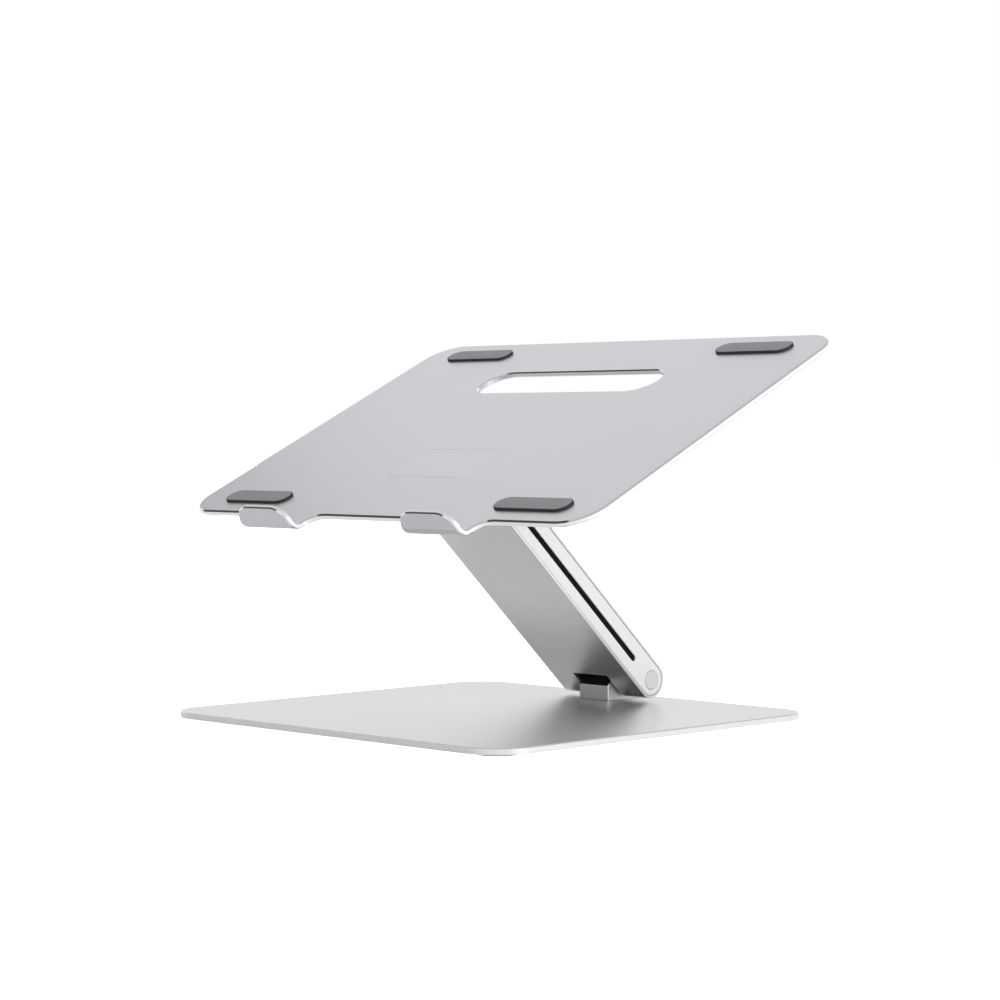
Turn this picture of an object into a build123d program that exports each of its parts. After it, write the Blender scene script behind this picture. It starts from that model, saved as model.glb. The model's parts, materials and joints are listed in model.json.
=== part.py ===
from build123d import *
import math
import os

# Folding aluminium laptop stand.
# Frame: +X to the user's right, +Y away from the user, +Z up.
# Origin: centre of the base plate's outline, at desk level. Millimetres.

# ---- driving dimensions ------------------------------------------------------
BASE_WIDTH = 238.0
BASE_DEPTH = 226.0
BASE_THICK = 3.2
BASE_CORNER = 22.0
FOOT_RADIUS = 10.0
FOOT_STANDOUT = 1.2
FOOT_SUNK = 0.6
FOOT_INSET = 17.0
FOOT_GAP = 0.2

ARM_LENGTH = 150.0
ARM_ANGLE = 42.6
ARM_WIDTH = 57.6
ARM_THICK = 19.0
SHELL_WALL = 1.5
LOWER_PIVOT_Y = 90.4
LOWER_PIVOT_ABOVE_BASE = 11.2

NOTCH_HALF = 12.0
NOTCH_REACH = 13.5
CHEEK_THICK = 4.0
FRAME_GAP = 0.1
WEB_THICK = 3.0
WEB_CLEAR = 0.5
WINDOW_LENGTH = 12.0
WINDOW_WIDTH = 6.0
WINDOW_OFFSET = -2.0
COVER_GAP = 0.2
COVER_THICK = 1.1
COVER_SET_BACK = 0.2
GROOVE_WIDTH = 3.2
GROOVE_OFFSET = 0.5
GROOVE_FROM_PIVOT = 17.0
STRIP_GAP = 0.05
CAP_RADIUS = 4.8
CAP_SUNK = 0.6
CAP_STANDOUT = 0.1
CAP_ROUND = 0.3
POST_RADIUS = 2.0
POST_OFFSET = 4.6
POST_SPACING = 35.0

SHAFT_RADIUS = 4.0
SHAFT_HALF = 25.8
SHAFT_END_CHAMFER = 0.6
SHAFT_SOCKET_RADIUS = 2.3
SHAFT_SOCKET_DEPTH = 3.0
RUNNING_FIT = 0.05
PRESS_FIT = 0.02
BRACKET_HALF = 10.3
BARREL_RADIUS = 8.5
BASE_BRACKET_FRONT = -13.2
BASE_BRACKET_BACK = 15.6
BASE_BRACKET_FRONT_SHOULDER = -3.4
BASE_BRACKET_BACK_SHOULDER = -8.2
TRAY_BRACKET_REACH = 12.6
TRAY_BRACKET_SHOULDER = -2.0
WASHER_RADIUS = 7.6
INNER_WASHER = (10.5, 11.8)
OUTER_WASHER = (16.2, 17.2)
DISC_START = 17.4
DISC_PITCH = 0.82
DISC_THICK = 0.45
DISC_CONE = 0.3
DISC_COUNT = 4
NUT_START = 20.9
NUT_THICK = 3.8
NUT_RADIUS = 7.4

TRAY_WIDTH = 281.0
TRAY_DEPTH = 206.0
TRAY_THICK = 3.0
TRAY_CORNER = 18.0
TRAY_TILT = 25.4
TRAY_PIVOT_DEPTH = 14.54
TRAY_PIVOT_FROM_FRONT = 61.4
OPENING_WIDTH = 123.0
OPENING_DEPTH = 25.5
OPENING_FROM_FRONT = 154.2
PAD_LENGTH = 47.0
PAD_WIDTH = 11.8
PAD_X = 97.0
PAD_FRONT = 15.5
PAD_REAR = 189.8
PAD_SUNK = 0.5
PAD_STANDOUT = 1.3
PAD_ROUND = 0.5
COVER_PLATE_WIDTH = 57.6
COVER_PLATE_DEPTH = 30.0
COVER_PLATE_THICK = 1.0
COVER_PLATE_CORNER = 1.5
COVER_PLATE_FROM_FRONT = 58.0
COVER_PLATE_GAP = 0.15

LIP_X = 58.5
LIP_HALF = 19.0
LIP_ROOT = 8.0
LIP_FLAT = 8.7
LIP_BEND = 4.0
LIP_TURN = 82.0
LIP_RISE = 8.6
LIP_CORNER = 10.5
LIP_OVERLAP = 2.0
LIP_PAD_HALF = 11.5
LIP_PAD_THICK = 0.9
LIP_PAD_START = 0.6
LIP_PAD_END = 5.8

SCREW_RADIUS = 1.5
SCREW_HEAD = 2.8
SCREW_LENGTH = 8.0
SCREW_SOCKET_RADIUS = 1.15
SCREW_SOCKET_DEPTH = 1.0
SCREW_HOLE_DEPTH = 7.0
SCREW_SPACING_X = 12.0
SCREW_SPACING_Y = 16.4
SCREWS_BEHIND_PIVOT = 1.0
EDGE = 0.4
MARGIN = 20.0

# ---- worked-out places -------------------------------------------------------
BASE_TOP = FOOT_STANDOUT + BASE_THICK
FOOT_X = BASE_WIDTH / 2 - FOOT_INSET
FOOT_Y = BASE_DEPTH / 2 - FOOT_INSET
LOWER_PIVOT_Z = BASE_TOP + LOWER_PIVOT_ABOVE_BASE
BASE_SCREW_Y = LOWER_PIVOT_Y + SCREWS_BEHIND_PIVOT
ARM_SIN = math.sin(math.radians(ARM_ANGLE))
ARM_COS = math.cos(math.radians(ARM_ANGLE))
TILT_SIN = math.sin(math.radians(TRAY_TILT))
TILT_COS = math.cos(math.radians(TRAY_TILT))
UPPER_PIVOT_Y = LOWER_PIVOT_Y - ARM_LENGTH * ARM_COS
UPPER_PIVOT_Z = LOWER_PIVOT_Z + ARM_LENGTH * ARM_SIN
TRAY_DROP = TRAY_PIVOT_DEPTH - TRAY_THICK
TRAY_FRONT_Y = UPPER_PIVOT_Y - TRAY_PIVOT_FROM_FRONT * TILT_COS - TRAY_PIVOT_DEPTH * TILT_SIN
TRAY_FRONT_Z = UPPER_PIVOT_Z - TRAY_PIVOT_FROM_FRONT * TILT_SIN + TRAY_PIVOT_DEPTH * TILT_COS

# ARM: local x runs up the arm from the lower pivot, local y towards its underside.
ARM = Plane(origin=(0, LOWER_PIVOT_Y, LOWER_PIVOT_Z), x_dir=(0, -ARM_COS, ARM_SIN), z_dir=(1, 0, 0))
# TRAY: local x to the right, local y rearwards from the front edge, local z out of the top face.
TRAY = Plane(origin=(0, TRAY_FRONT_Y, TRAY_FRONT_Z), x_dir=(1, 0, 0), z_dir=(0, -TILT_SIN, TILT_COS))
# LOWER_SIDE and UPPER_SIDE: origin on a pivot, local y pointing away from the plate beside it.
LOWER_SIDE = Plane(origin=(0, LOWER_PIVOT_Y, LOWER_PIVOT_Z), x_dir=(0, 1, 0), z_dir=(1, 0, 0))
UPPER_SIDE = Plane(origin=(0, UPPER_PIVOT_Y, UPPER_PIVOT_Z), x_dir=(0, -TILT_COS, -TILT_SIN), z_dir=(1, 0, 0))
SIDES = {"left": -1, "right": 1}
PIVOTS = {"lower": (LOWER_PIVOT_Y, LOWER_PIVOT_Z), "upper": (UPPER_PIVOT_Y, UPPER_PIVOT_Z)}

os.makedirs("parts", exist_ok=True)


def save(piece, name):
    """Label a finished piece and write it under its node name."""
    piece.label = name
    export_step(piece, f"parts/{name}.step")


def tangent_point(x, y, radius, turn):
    """Point where a line from (x, y) touches a circle about the origin, on the chosen side."""
    angle = math.atan2(y, x) + turn * math.acos(radius / math.hypot(x, y))
    return radius * math.cos(angle), radius * math.sin(angle)


def bracket_outline(foot, front, back, front_shoulder, back_shoulder):
    """Hinge block: a flat foot, two upright shoulders and tangents up to a round barrel."""
    Circle(BARREL_RADIUS)
    Polygon(
        (front, -foot),
        (front, front_shoulder),
        tangent_point(front, front_shoulder, BARREL_RADIUS, -1),
        tangent_point(back, back_shoulder, BARREL_RADIUS, 1),
        (back, back_shoulder),
        (back, -foot),
        align=None,
    )


def ring(inner, outer, start, end):
    """Outline of a turned ring: X along its axis, Y its radius."""
    with Locations(((start + end) / 2, (inner + outer) / 2)):
        Rectangle(end - start, outer - inner)


# ---- base ----------------------------------------------------------------
with BuildPart() as base_plate:
    with BuildSketch(Plane.XY.offset(FOOT_STANDOUT)):
        RectangleRounded(BASE_WIDTH, BASE_DEPTH, BASE_CORNER)
    extrude(amount=BASE_THICK)
    chamfer(base_plate.faces().sort_by(Axis.Z)[-1].edges(), EDGE)
    chamfer(base_plate.faces().sort_by(Axis.Z)[0].edges(), EDGE)
    with BuildSketch(Plane.XY.offset(FOOT_STANDOUT)):
        with GridLocations(2 * FOOT_X, 2 * FOOT_Y, 2, 2):
            Circle(FOOT_RADIUS + FOOT_GAP)
    extrude(amount=FOOT_SUNK, mode=Mode.SUBTRACT)
    with Locations(Plane(origin=(0, BASE_SCREW_Y, FOOT_STANDOUT), z_dir=(0, 0, -1))):
        with GridLocations(SCREW_SPACING_X, SCREW_SPACING_Y, 2, 2):
            CounterSinkHole(SCREW_RADIUS + RUNNING_FIT, SCREW_HEAD + RUNNING_FIT)
save(base_plate.part, "base_plate")

for row, sign_y in {"front": -1, "rear": 1}.items():
    for side, sign_x in SIDES.items():
        with BuildPart() as foot:
            with BuildSketch(Plane.XY):
                with Locations((sign_x * FOOT_X, sign_y * FOOT_Y)):
                    Circle(FOOT_RADIUS)
            extrude(amount=FOOT_STANDOUT + FOOT_SUNK)
            fillet(foot.faces().sort_by(Axis.Z)[0].edges(), EDGE)
        save(foot.part, f"foot_{row}_{side}")

with BuildPart() as base_bracket:
    with BuildSketch(LOWER_SIDE):
        bracket_outline(LOWER_PIVOT_ABOVE_BASE, BASE_BRACKET_FRONT, BASE_BRACKET_BACK,
                        BASE_BRACKET_FRONT_SHOULDER, BASE_BRACKET_BACK_SHOULDER)
    extrude(amount=BRACKET_HALF, both=True)
    with BuildSketch(LOWER_SIDE):
        Circle(SHAFT_RADIUS + PRESS_FIT)
    extrude(amount=BRACKET_HALF, both=True, mode=Mode.SUBTRACT)
    chamfer(base_bracket.faces().sort_by(Axis.X)[-1].outer_wire().edges(), EDGE)
    chamfer(base_bracket.faces().sort_by(Axis.X)[0].outer_wire().edges(), EDGE)
    with Locations(Plane(origin=(0, BASE_SCREW_Y, BASE_TOP), z_dir=(0, 0, -1))):
        with GridLocations(SCREW_SPACING_X, SCREW_SPACING_Y, 2, 2):
            Hole(SCREW_RADIUS + PRESS_FIT, depth=SCREW_HOLE_DEPTH)
save(base_bracket.part, "base_bracket")

# Countersunk screw, head face at the origin, shank down local -Z.
with BuildPart() as countersunk_screw:
    with BuildSketch(Plane.XZ):
        with BuildLine():
            Polyline(
                (0, -SCREW_LENGTH),
                (SCREW_RADIUS - EDGE, -SCREW_LENGTH),
                (SCREW_RADIUS, -SCREW_LENGTH + EDGE),
                (SCREW_RADIUS, SCREW_RADIUS - SCREW_HEAD),
                (SCREW_HEAD, 0),
                (0, 0),
                close=True,
            )
        make_face()
    revolve(axis=Axis.Z)
    with BuildSketch(Plane.XY):
        RegularPolygon(SCREW_SOCKET_RADIUS, 6)
    extrude(amount=-SCREW_SOCKET_DEPTH, mode=Mode.SUBTRACT)

with BuildPart() as base_bracket_screws:
    with Locations(Plane(origin=(0, BASE_SCREW_Y, FOOT_STANDOUT), z_dir=(0, 0, -1))):
        with GridLocations(SCREW_SPACING_X, SCREW_SPACING_Y, 2, 2):
            add(countersunk_screw.part)
save(base_bracket_screws.part, "base_bracket_screws")

# ---- friction hinges -----------------------------------------------------
for hinge, (pivot_y, pivot_z) in PIVOTS.items():
    # AXLE: local x along the hinge, local y its radius.
    axle = Plane(origin=(0, pivot_y, pivot_z), x_dir=(1, 0, 0), z_dir=(0, -1, 0))
    axis = Axis((0, pivot_y, pivot_z), (1, 0, 0))

    with BuildPart() as shaft:
        with BuildSketch(axle):
            ring(0, SHAFT_RADIUS, -SHAFT_HALF, SHAFT_HALF)
        revolve(axis=axis)
        chamfer(shaft.edges().filter_by(GeomType.CIRCLE), SHAFT_END_CHAMFER)
        for sign in SIDES.values():
            with BuildSketch(Plane(origin=(sign * SHAFT_HALF, pivot_y, pivot_z), z_dir=(sign, 0, 0))):
                RegularPolygon(SHAFT_SOCKET_RADIUS, 6)
            extrude(amount=-SHAFT_SOCKET_DEPTH, mode=Mode.SUBTRACT)
    save(shaft.part, f"{hinge}_shaft")

    with BuildPart() as washers:
        with BuildSketch(axle):
            for start, end in (INNER_WASHER, OUTER_WASHER):
                ring(SHAFT_RADIUS + PRESS_FIT, WASHER_RADIUS, start, end)
                ring(SHAFT_RADIUS + PRESS_FIT, WASHER_RADIUS, -end, -start)
        revolve(axis=axis)
    save(washers.part, f"{hinge}_friction_washers")

    with BuildPart() as discs:
        with BuildSketch(axle):
            for sign in SIDES.values():
                for index in range(DISC_COUNT):
                    near = DISC_START + index * DISC_PITCH
                    rim = DISC_CONE if index % 2 else 0.0
                    hub = DISC_CONE - rim
                    with BuildLine():
                        Polyline(
                            (sign * (near + hub), SHAFT_RADIUS + PRESS_FIT),
                            (sign * (near + hub + DISC_THICK), SHAFT_RADIUS + PRESS_FIT),
                            (sign * (near + rim + DISC_THICK), WASHER_RADIUS),
                            (sign * (near + rim), WASHER_RADIUS),
                            close=True,
                        )
                    make_face()
        revolve(axis=axis)
    save(discs.part, f"{hinge}_disc_springs")

    with BuildPart() as nuts:
        for sign in SIDES.values():
            with BuildSketch(Plane(origin=(sign * NUT_START, pivot_y, pivot_z), z_dir=(sign, 0, 0))):
                RegularPolygon(NUT_RADIUS, 6)
                Circle(SHAFT_RADIUS + PRESS_FIT, mode=Mode.SUBTRACT)
            extrude(amount=NUT_THICK)
    save(nuts.part, f"{hinge}_lock_nuts")

# ---- arm -------------------------------------------------------------------
ARM_MIDDLE = (ARM_LENGTH / 2, 0)
ARM_INNER = ARM_THICK - 2 * SHELL_WALL
FRAME_THICK = ARM_INNER - 2 * FRAME_GAP
WEB_LENGTH = ARM_LENGTH - 2 * (NOTCH_REACH + WEB_CLEAR)

with BuildPart() as arm_shell:
    with BuildSketch(ARM):
        with Locations(ARM_MIDDLE):
            SlotCenterToCenter(ARM_LENGTH, ARM_THICK)
            SlotCenterToCenter(ARM_LENGTH, ARM_INNER, mode=Mode.SUBTRACT)
    extrude(amount=ARM_WIDTH / 2, both=True)
    chamfer(arm_shell.faces().sort_by(Axis.X)[-1].outer_wire().edges(), EDGE)
    chamfer(arm_shell.faces().sort_by(Axis.X)[0].outer_wire().edges(), EDGE)
    with BuildSketch(ARM):
        for middle in (0, ARM_LENGTH):
            with Locations((middle, 0)):
                Rectangle(2 * NOTCH_REACH, ARM_THICK + MARGIN)
    extrude(amount=NOTCH_HALF, both=True, mode=Mode.SUBTRACT)
save(arm_shell.part, "arm_shell")

with BuildPart() as arm_frame:
    with BuildSketch(ARM.offset(NOTCH_HALF), ARM.offset(-NOTCH_HALF - CHEEK_THICK)):
        with Locations(ARM_MIDDLE):
            SlotCenterToCenter(ARM_LENGTH, FRAME_THICK)
            with GridLocations(ARM_LENGTH, 1, 2, 1):
                Circle(SHAFT_RADIUS + RUNNING_FIT, mode=Mode.SUBTRACT)
            with GridLocations(POST_SPACING, 1, 3, 1):
                with Locations((0, POST_OFFSET)):
                    Circle(POST_RADIUS + RUNNING_FIT, mode=Mode.SUBTRACT)
            with GridLocations(POST_SPACING, 1, 2, 1):
                with Locations((0, WINDOW_OFFSET)):
                    SlotCenterToCenter(WINDOW_LENGTH, WINDOW_WIDTH, mode=Mode.SUBTRACT)
    extrude(amount=CHEEK_THICK)
    with BuildSketch(ARM):
        with Locations(ARM_MIDDLE):
            Rectangle(WEB_LENGTH, WEB_THICK)
            with GridLocations(WEB_LENGTH - WEB_THICK, 1, 2, 1):
                Rectangle(WEB_THICK, FRAME_THICK)
    extrude(amount=NOTCH_HALF, both=True)
save(arm_frame.part, "arm_frame")

GROOVE_LENGTH = ARM_LENGTH - 2 * GROOVE_FROM_PIVOT
COVER_INNER_X = ARM_WIDTH / 2 - COVER_SET_BACK - COVER_THICK

for side, sign in SIDES.items():
    outward = Plane(origin=ARM.origin, x_dir=ARM.x_dir, z_dir=(sign, 0, 0))
    groove_at = (ARM_LENGTH / 2, sign * GROOVE_OFFSET)

    with BuildPart() as side_cover:
        with BuildSketch(outward.offset(COVER_INNER_X)):
            with Locations(ARM_MIDDLE):
                SlotCenterToCenter(ARM_LENGTH, ARM_INNER - 2 * COVER_GAP)
                with GridLocations(ARM_LENGTH, 1, 2, 1):
                    Circle(CAP_RADIUS + COVER_GAP, mode=Mode.SUBTRACT)
            with Locations(groove_at):
                SlotOverall(GROOVE_LENGTH, GROOVE_WIDTH, mode=Mode.SUBTRACT)
        extrude(amount=COVER_THICK)
        face = side_cover.faces().sort_by(Axis.X)[-1 if sign > 0 else 0]
        chamfer(face.edges(), COVER_SET_BACK)
        with BuildSketch(outward.offset(NOTCH_HALF + CHEEK_THICK / 2)):
            with Locations(ARM_MIDDLE):
                with GridLocations(POST_SPACING, 1, 3, 1):
                    with Locations((0, sign * POST_OFFSET)):
                        Circle(POST_RADIUS)
        extrude(amount=COVER_INNER_X - NOTCH_HALF - CHEEK_THICK / 2)
    save(side_cover.part, f"side_cover_{side}")

    with BuildPart() as groove_strip:
        with BuildSketch(outward.offset(COVER_INNER_X)):
            with Locations(groove_at):
                SlotOverall(GROOVE_LENGTH - 2 * STRIP_GAP, GROOVE_WIDTH - 2 * STRIP_GAP)
        extrude(amount=COVER_THICK / 2)
    save(groove_strip.part, f"groove_strip_{side}")

    for hinge, along in {"lower": 0, "upper": ARM_LENGTH}.items():
        with BuildPart() as pivot_cap:
            with BuildSketch(outward.offset(COVER_INNER_X - CAP_SUNK)):
                with Locations((along, 0)):
                    Circle(CAP_RADIUS)
            extrude(amount=CAP_SUNK + COVER_THICK + CAP_STANDOUT)
            outer = pivot_cap.faces().sort_by(Axis.X)[-1 if sign > 0 else 0]
            fillet(outer.edges(), CAP_ROUND)
        save(pivot_cap.part, f"pivot_cap_{hinge}_{side}")

# ---- tray ------------------------------------------------------------------
TURN = math.radians(LIP_TURN)
LIP_REACH = LIP_HALF + LIP_ROOT
LIP_TOP = LIP_BEND * (1 - math.cos(TURN)) + LIP_RISE * math.sin(TURN)
BEND_END = (-LIP_FLAT - LIP_BEND * math.sin(TURN), LIP_BEND * (1 - math.cos(TURN)))
ALONG_LIP = (-math.cos(TURN), math.sin(TURN))
THROUGH_LIP = (-math.sin(TURN), -math.cos(TURN))


def lip_point(along, through):
    """Point on the lip's upright, along it from the end of the bend and through its thickness."""
    return (
        BEND_END[0] + along * ALONG_LIP[0] + through * THROUGH_LIP[0],
        BEND_END[1] + along * ALONG_LIP[1] + through * THROUGH_LIP[1],
    )


lips = []
for side, sign in SIDES.items():
    lip_origin = TRAY.origin + Vector(sign * LIP_X, 0, 0)
    # Across the lip: local x rearwards along the tray, local y out of its top face.
    section = Plane(origin=lip_origin, x_dir=TRAY.y_dir, z_dir=(1, 0, 0))
    plan = Plane(origin=lip_origin, x_dir=(1, 0, 0), z_dir=TRAY.z_dir)
    front = Plane(origin=lip_origin, x_dir=(1, 0, 0), z_dir=-TRAY.y_dir)

    with BuildPart() as lip:
        with BuildSketch(section):
            with BuildLine():
                Line((LIP_OVERLAP, 0), (-LIP_FLAT, 0))
                CenterArc((-LIP_FLAT, LIP_BEND), LIP_BEND, 270, -LIP_TURN)
                Polyline(lip_point(0, 0), lip_point(LIP_RISE, 0), lip_point(LIP_RISE, TRAY_THICK),
                         lip_point(0, TRAY_THICK))
                CenterArc((-LIP_FLAT, LIP_BEND), LIP_BEND + TRAY_THICK, 270 - LIP_TURN, LIP_TURN)
                Polyline((-LIP_FLAT, -TRAY_THICK), (LIP_OVERLAP, -TRAY_THICK), (LIP_OVERLAP, 0))
            make_face()
        extrude(amount=LIP_REACH, both=True)
        # Seen from above: rounded inside corners where the lip leaves the front edge.
        with BuildSketch(plan):
            with Locations((0, (LIP_OVERLAP - LIP_ROOT) / 2)):
                Rectangle(2 * LIP_REACH, LIP_OVERLAP + LIP_ROOT)
            with Locations((-LIP_REACH, -LIP_ROOT), (LIP_REACH, -LIP_ROOT)):
                Circle(LIP_ROOT, mode=Mode.SUBTRACT)
            with Locations((0, -LIP_ROOT - MARGIN / 2)):
                Rectangle(2 * LIP_HALF, MARGIN)
        extrude(amount=MARGIN, both=True, mode=Mode.INTERSECT)
        # Seen from the front: rounded top corners above the bend, full width below it.
        with BuildSketch(front):
            with Locations((0, LIP_OVERLAP / 4 - MARGIN / 2)):
                Rectangle(2 * LIP_REACH + LIP_OVERLAP, MARGIN)
            with Locations((0, (LIP_TOP - MARGIN) / 2)):
                RectangleRounded(2 * LIP_HALF, LIP_TOP + MARGIN, LIP_CORNER)
        extrude(amount=MARGIN, both=True, mode=Mode.INTERSECT)
    lips.append(lip.part)

    with BuildPart() as lip_pad:
        with BuildSketch(section):
            with BuildLine():
                Polyline(lip_point(LIP_PAD_START, 0), lip_point(LIP_PAD_END, 0),
                         lip_point(LIP_PAD_END, -LIP_PAD_THICK), lip_point(LIP_PAD_START, -LIP_PAD_THICK),
                         close=True)
            make_face()
        extrude(amount=LIP_PAD_HALF, both=True)
    save(lip_pad.part, f"lip_pad_{side}")

with BuildPart() as tray_plate:
    with BuildSketch(TRAY):
        with Locations((0, TRAY_DEPTH / 2)):
            RectangleRounded(TRAY_WIDTH, TRAY_DEPTH, TRAY_CORNER)
        with Locations((0, OPENING_FROM_FRONT)):
            SlotOverall(OPENING_WIDTH, OPENING_DEPTH, mode=Mode.SUBTRACT)
    extrude(amount=-TRAY_THICK)
    add(lips)
    with BuildSketch(TRAY):
        for row in (PAD_FRONT, PAD_REAR):
            with Locations((-PAD_X, row), (PAD_X, row)):
                SlotOverall(PAD_LENGTH, PAD_WIDTH)
    extrude(amount=-PAD_SUNK, mode=Mode.SUBTRACT)
    with BuildSketch(TRAY):
        with Locations((0, COVER_PLATE_FROM_FRONT)):
            RectangleRounded(COVER_PLATE_WIDTH, COVER_PLATE_DEPTH, COVER_PLATE_CORNER)
    extrude(amount=-COVER_PLATE_THICK, mode=Mode.SUBTRACT)
    with Locations(TRAY.offset(-COVER_PLATE_THICK)):
        with Locations((0, TRAY_PIVOT_FROM_FRONT)):
            with GridLocations(SCREW_SPACING_X, SCREW_SPACING_Y, 2, 2):
                CounterSinkHole(SCREW_RADIUS + RUNNING_FIT, SCREW_HEAD + RUNNING_FIT, depth=2 * TRAY_THICK)
save(tray_plate.part, "tray_plate")

with BuildPart() as hinge_cover_plate:
    with BuildSketch(TRAY):
        with Locations((0, COVER_PLATE_FROM_FRONT)):
            RectangleRounded(COVER_PLATE_WIDTH - 2 * COVER_PLATE_GAP, COVER_PLATE_DEPTH - 2 * COVER_PLATE_GAP,
                             COVER_PLATE_CORNER - COVER_PLATE_GAP)
    extrude(amount=-COVER_PLATE_THICK)
save(hinge_cover_plate.part, "hinge_cover_plate")

for row, from_front in {"front": PAD_FRONT, "rear": PAD_REAR}.items():
    for side, sign in SIDES.items():
        with BuildPart() as pad:
            with BuildSketch(TRAY.offset(-PAD_SUNK)):
                with Locations((sign * PAD_X, from_front)):
                    SlotOverall(PAD_LENGTH, PAD_WIDTH)
            extrude(amount=PAD_SUNK + PAD_STANDOUT)
            top = pad.faces().sort_by(Axis(TRAY.origin, TRAY.z_dir))[-1]
            fillet(top.edges(), PAD_ROUND)
        save(pad.part, f"tray_pad_{row}_{side}")

with BuildPart() as tray_bracket:
    with BuildSketch(UPPER_SIDE):
        bracket_outline(TRAY_DROP, -TRAY_BRACKET_REACH, TRAY_BRACKET_REACH,
                        TRAY_BRACKET_SHOULDER, TRAY_BRACKET_SHOULDER)
    extrude(amount=BRACKET_HALF, both=True)
    with BuildSketch(UPPER_SIDE):
        Circle(SHAFT_RADIUS + RUNNING_FIT)
    extrude(amount=BRACKET_HALF, both=True, mode=Mode.SUBTRACT)
    chamfer(tray_bracket.faces().sort_by(Axis.X)[-1].outer_wire().edges(), EDGE)
    chamfer(tray_bracket.faces().sort_by(Axis.X)[0].outer_wire().edges(), EDGE)
    with Locations(TRAY.offset(-TRAY_THICK)):
        with Locations((0, TRAY_PIVOT_FROM_FRONT)):
            with GridLocations(SCREW_SPACING_X, SCREW_SPACING_Y, 2, 2):
                Hole(SCREW_RADIUS + PRESS_FIT, depth=SCREW_HOLE_DEPTH)
save(tray_bracket.part, "tray_bracket")

with BuildPart() as tray_bracket_screws:
    with Locations(TRAY.offset(-COVER_PLATE_THICK)):
        with Locations((0, TRAY_PIVOT_FROM_FRONT)):
            with GridLocations(SCREW_SPACING_X, SCREW_SPACING_Y, 2, 2):
                add(countersunk_screw.part)
save(tray_bracket_screws.part, "tray_bracket_screws")
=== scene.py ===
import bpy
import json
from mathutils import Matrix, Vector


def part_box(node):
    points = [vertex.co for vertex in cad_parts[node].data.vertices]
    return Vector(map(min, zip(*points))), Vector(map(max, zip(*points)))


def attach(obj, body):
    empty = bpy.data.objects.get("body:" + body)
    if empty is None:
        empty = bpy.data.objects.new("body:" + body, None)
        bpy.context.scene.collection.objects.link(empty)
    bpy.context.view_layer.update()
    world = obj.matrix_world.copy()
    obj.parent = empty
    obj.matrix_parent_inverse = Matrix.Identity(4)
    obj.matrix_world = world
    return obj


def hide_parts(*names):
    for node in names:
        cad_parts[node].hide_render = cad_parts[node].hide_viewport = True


bl_info = {
    "name": "Laptop Stand",
    "version": (1, 0, 0),
    "blender": (4, 5, 0),
    "location": "View3D > Sidebar > Laptop Stand",
    "description": "Builds the skins and finishes of a folding aluminium laptop stand",
    "category": "Add Mesh",
}

import json
import math

import bpy
import numpy as np
from bpy.props import FloatProperty, FloatVectorProperty, PointerProperty
from mathutils import Vector
from mathutils.geometry import delaunay_2d_cdt

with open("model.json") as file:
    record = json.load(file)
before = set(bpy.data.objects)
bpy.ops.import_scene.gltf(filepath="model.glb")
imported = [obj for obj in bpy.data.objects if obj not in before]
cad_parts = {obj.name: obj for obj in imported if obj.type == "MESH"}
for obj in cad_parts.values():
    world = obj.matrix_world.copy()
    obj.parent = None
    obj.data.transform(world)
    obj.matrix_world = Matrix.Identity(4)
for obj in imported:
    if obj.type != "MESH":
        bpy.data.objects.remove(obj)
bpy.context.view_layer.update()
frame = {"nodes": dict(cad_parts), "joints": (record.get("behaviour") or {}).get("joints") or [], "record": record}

MM = 0.001
JOINTS = {joint["name"]: joint for joint in frame["joints"]}
MOUNTS = {mount["name"]: mount for mount in frame["record"]["mounts"]}
LOWER_PIVOT = np.array(JOINTS["arm_fold"]["pos_m"], float)
UPPER_PIVOT = np.array(JOINTS["tray_fold"]["pos_m"], float)
TRAY_NORMAL = np.array(MOUNTS["laptop_rest"]["axis"], float)
RIGHT = np.array((1.0, 0.0, 0.0))
SIDES = {"left": -1, "right": 1}
# A piece's second and third material.
CUT_EDGE = 1
SIDE_WALL = 2
# Radii of a countersunk screw's head and of its hole.
SCREW_HEAD = 2.8 * MM
SCREW_HOLE = 1.55 * MM
# The arm's side covers: bevel of their holes, radius of their edge, and bevel of the strips in their grooves.
STEP_BEVEL = 0.15 * MM
COVER_ROUND = 0.25 * MM
STRIP_BEVEL = 0.1 * MM
# The tray's small pieces: top bevel of the hinge cover, bevel under it and the pads, and a lip pad's radii.
FLUSH_BEVEL = 0.05 * MM
BACK_BEVEL = 0.1 * MM
LIP_PAD_ROUND = 0.35 * MM
LIP_PAD_CORNER = 1.0 * MM
# Distances between points along the pads' straight sides.
PAD_PITCH = 2.0 * MM
LIP_PAD_PITCH = 1.0 * MM
# Painted shade on the arm's underside beside its lower hinge, darkening the metal's colour: where it ends, how
# softly, its tone and the mask's share.
SHADE_REACH = 85 * MM
SHADE_FADE = 60 * MM
SHADE_TONE = 0.6
SHADE_SHARE = 0.85
# A hinge block is black where its outline's normal points away from its foot by more than this: partly a black
# barrel and partly painted shade from the arm's notch above it.
BLACK_AND_SHADE_FROM = 0.2
# Outline points closer than this are one, and a step in a profile that is smaller than this is none.
SAME_POINT = 1e-8
NO_STEP = 1e-9
# Points in the arm's skin: along half a notch, along the runs beside and between the notches, and across.
NOTCH_STEPS = 34
END_RUN_STEPS = 14
MIDDLE_RUN_STEPS = 26
ARM_ROWS = 11
# How far those points keep from a notch's edge.
NOTCH_MARGIN = 0.6 * MM
# Points in the tray's skin: round a lip's bend and across a lip.
BEND_STEPS = 16
LIP_COLUMNS = 15
NO_SPOTS = np.zeros((0, 2))
# Where the dark card has faded out, as a multiple of its half width.
CARD_SOFTNESS = 1.25
# The camera's clip distances, in metres.
CAMERA_NEAR = 0.05
CAMERA_FAR = 50.0

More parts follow.
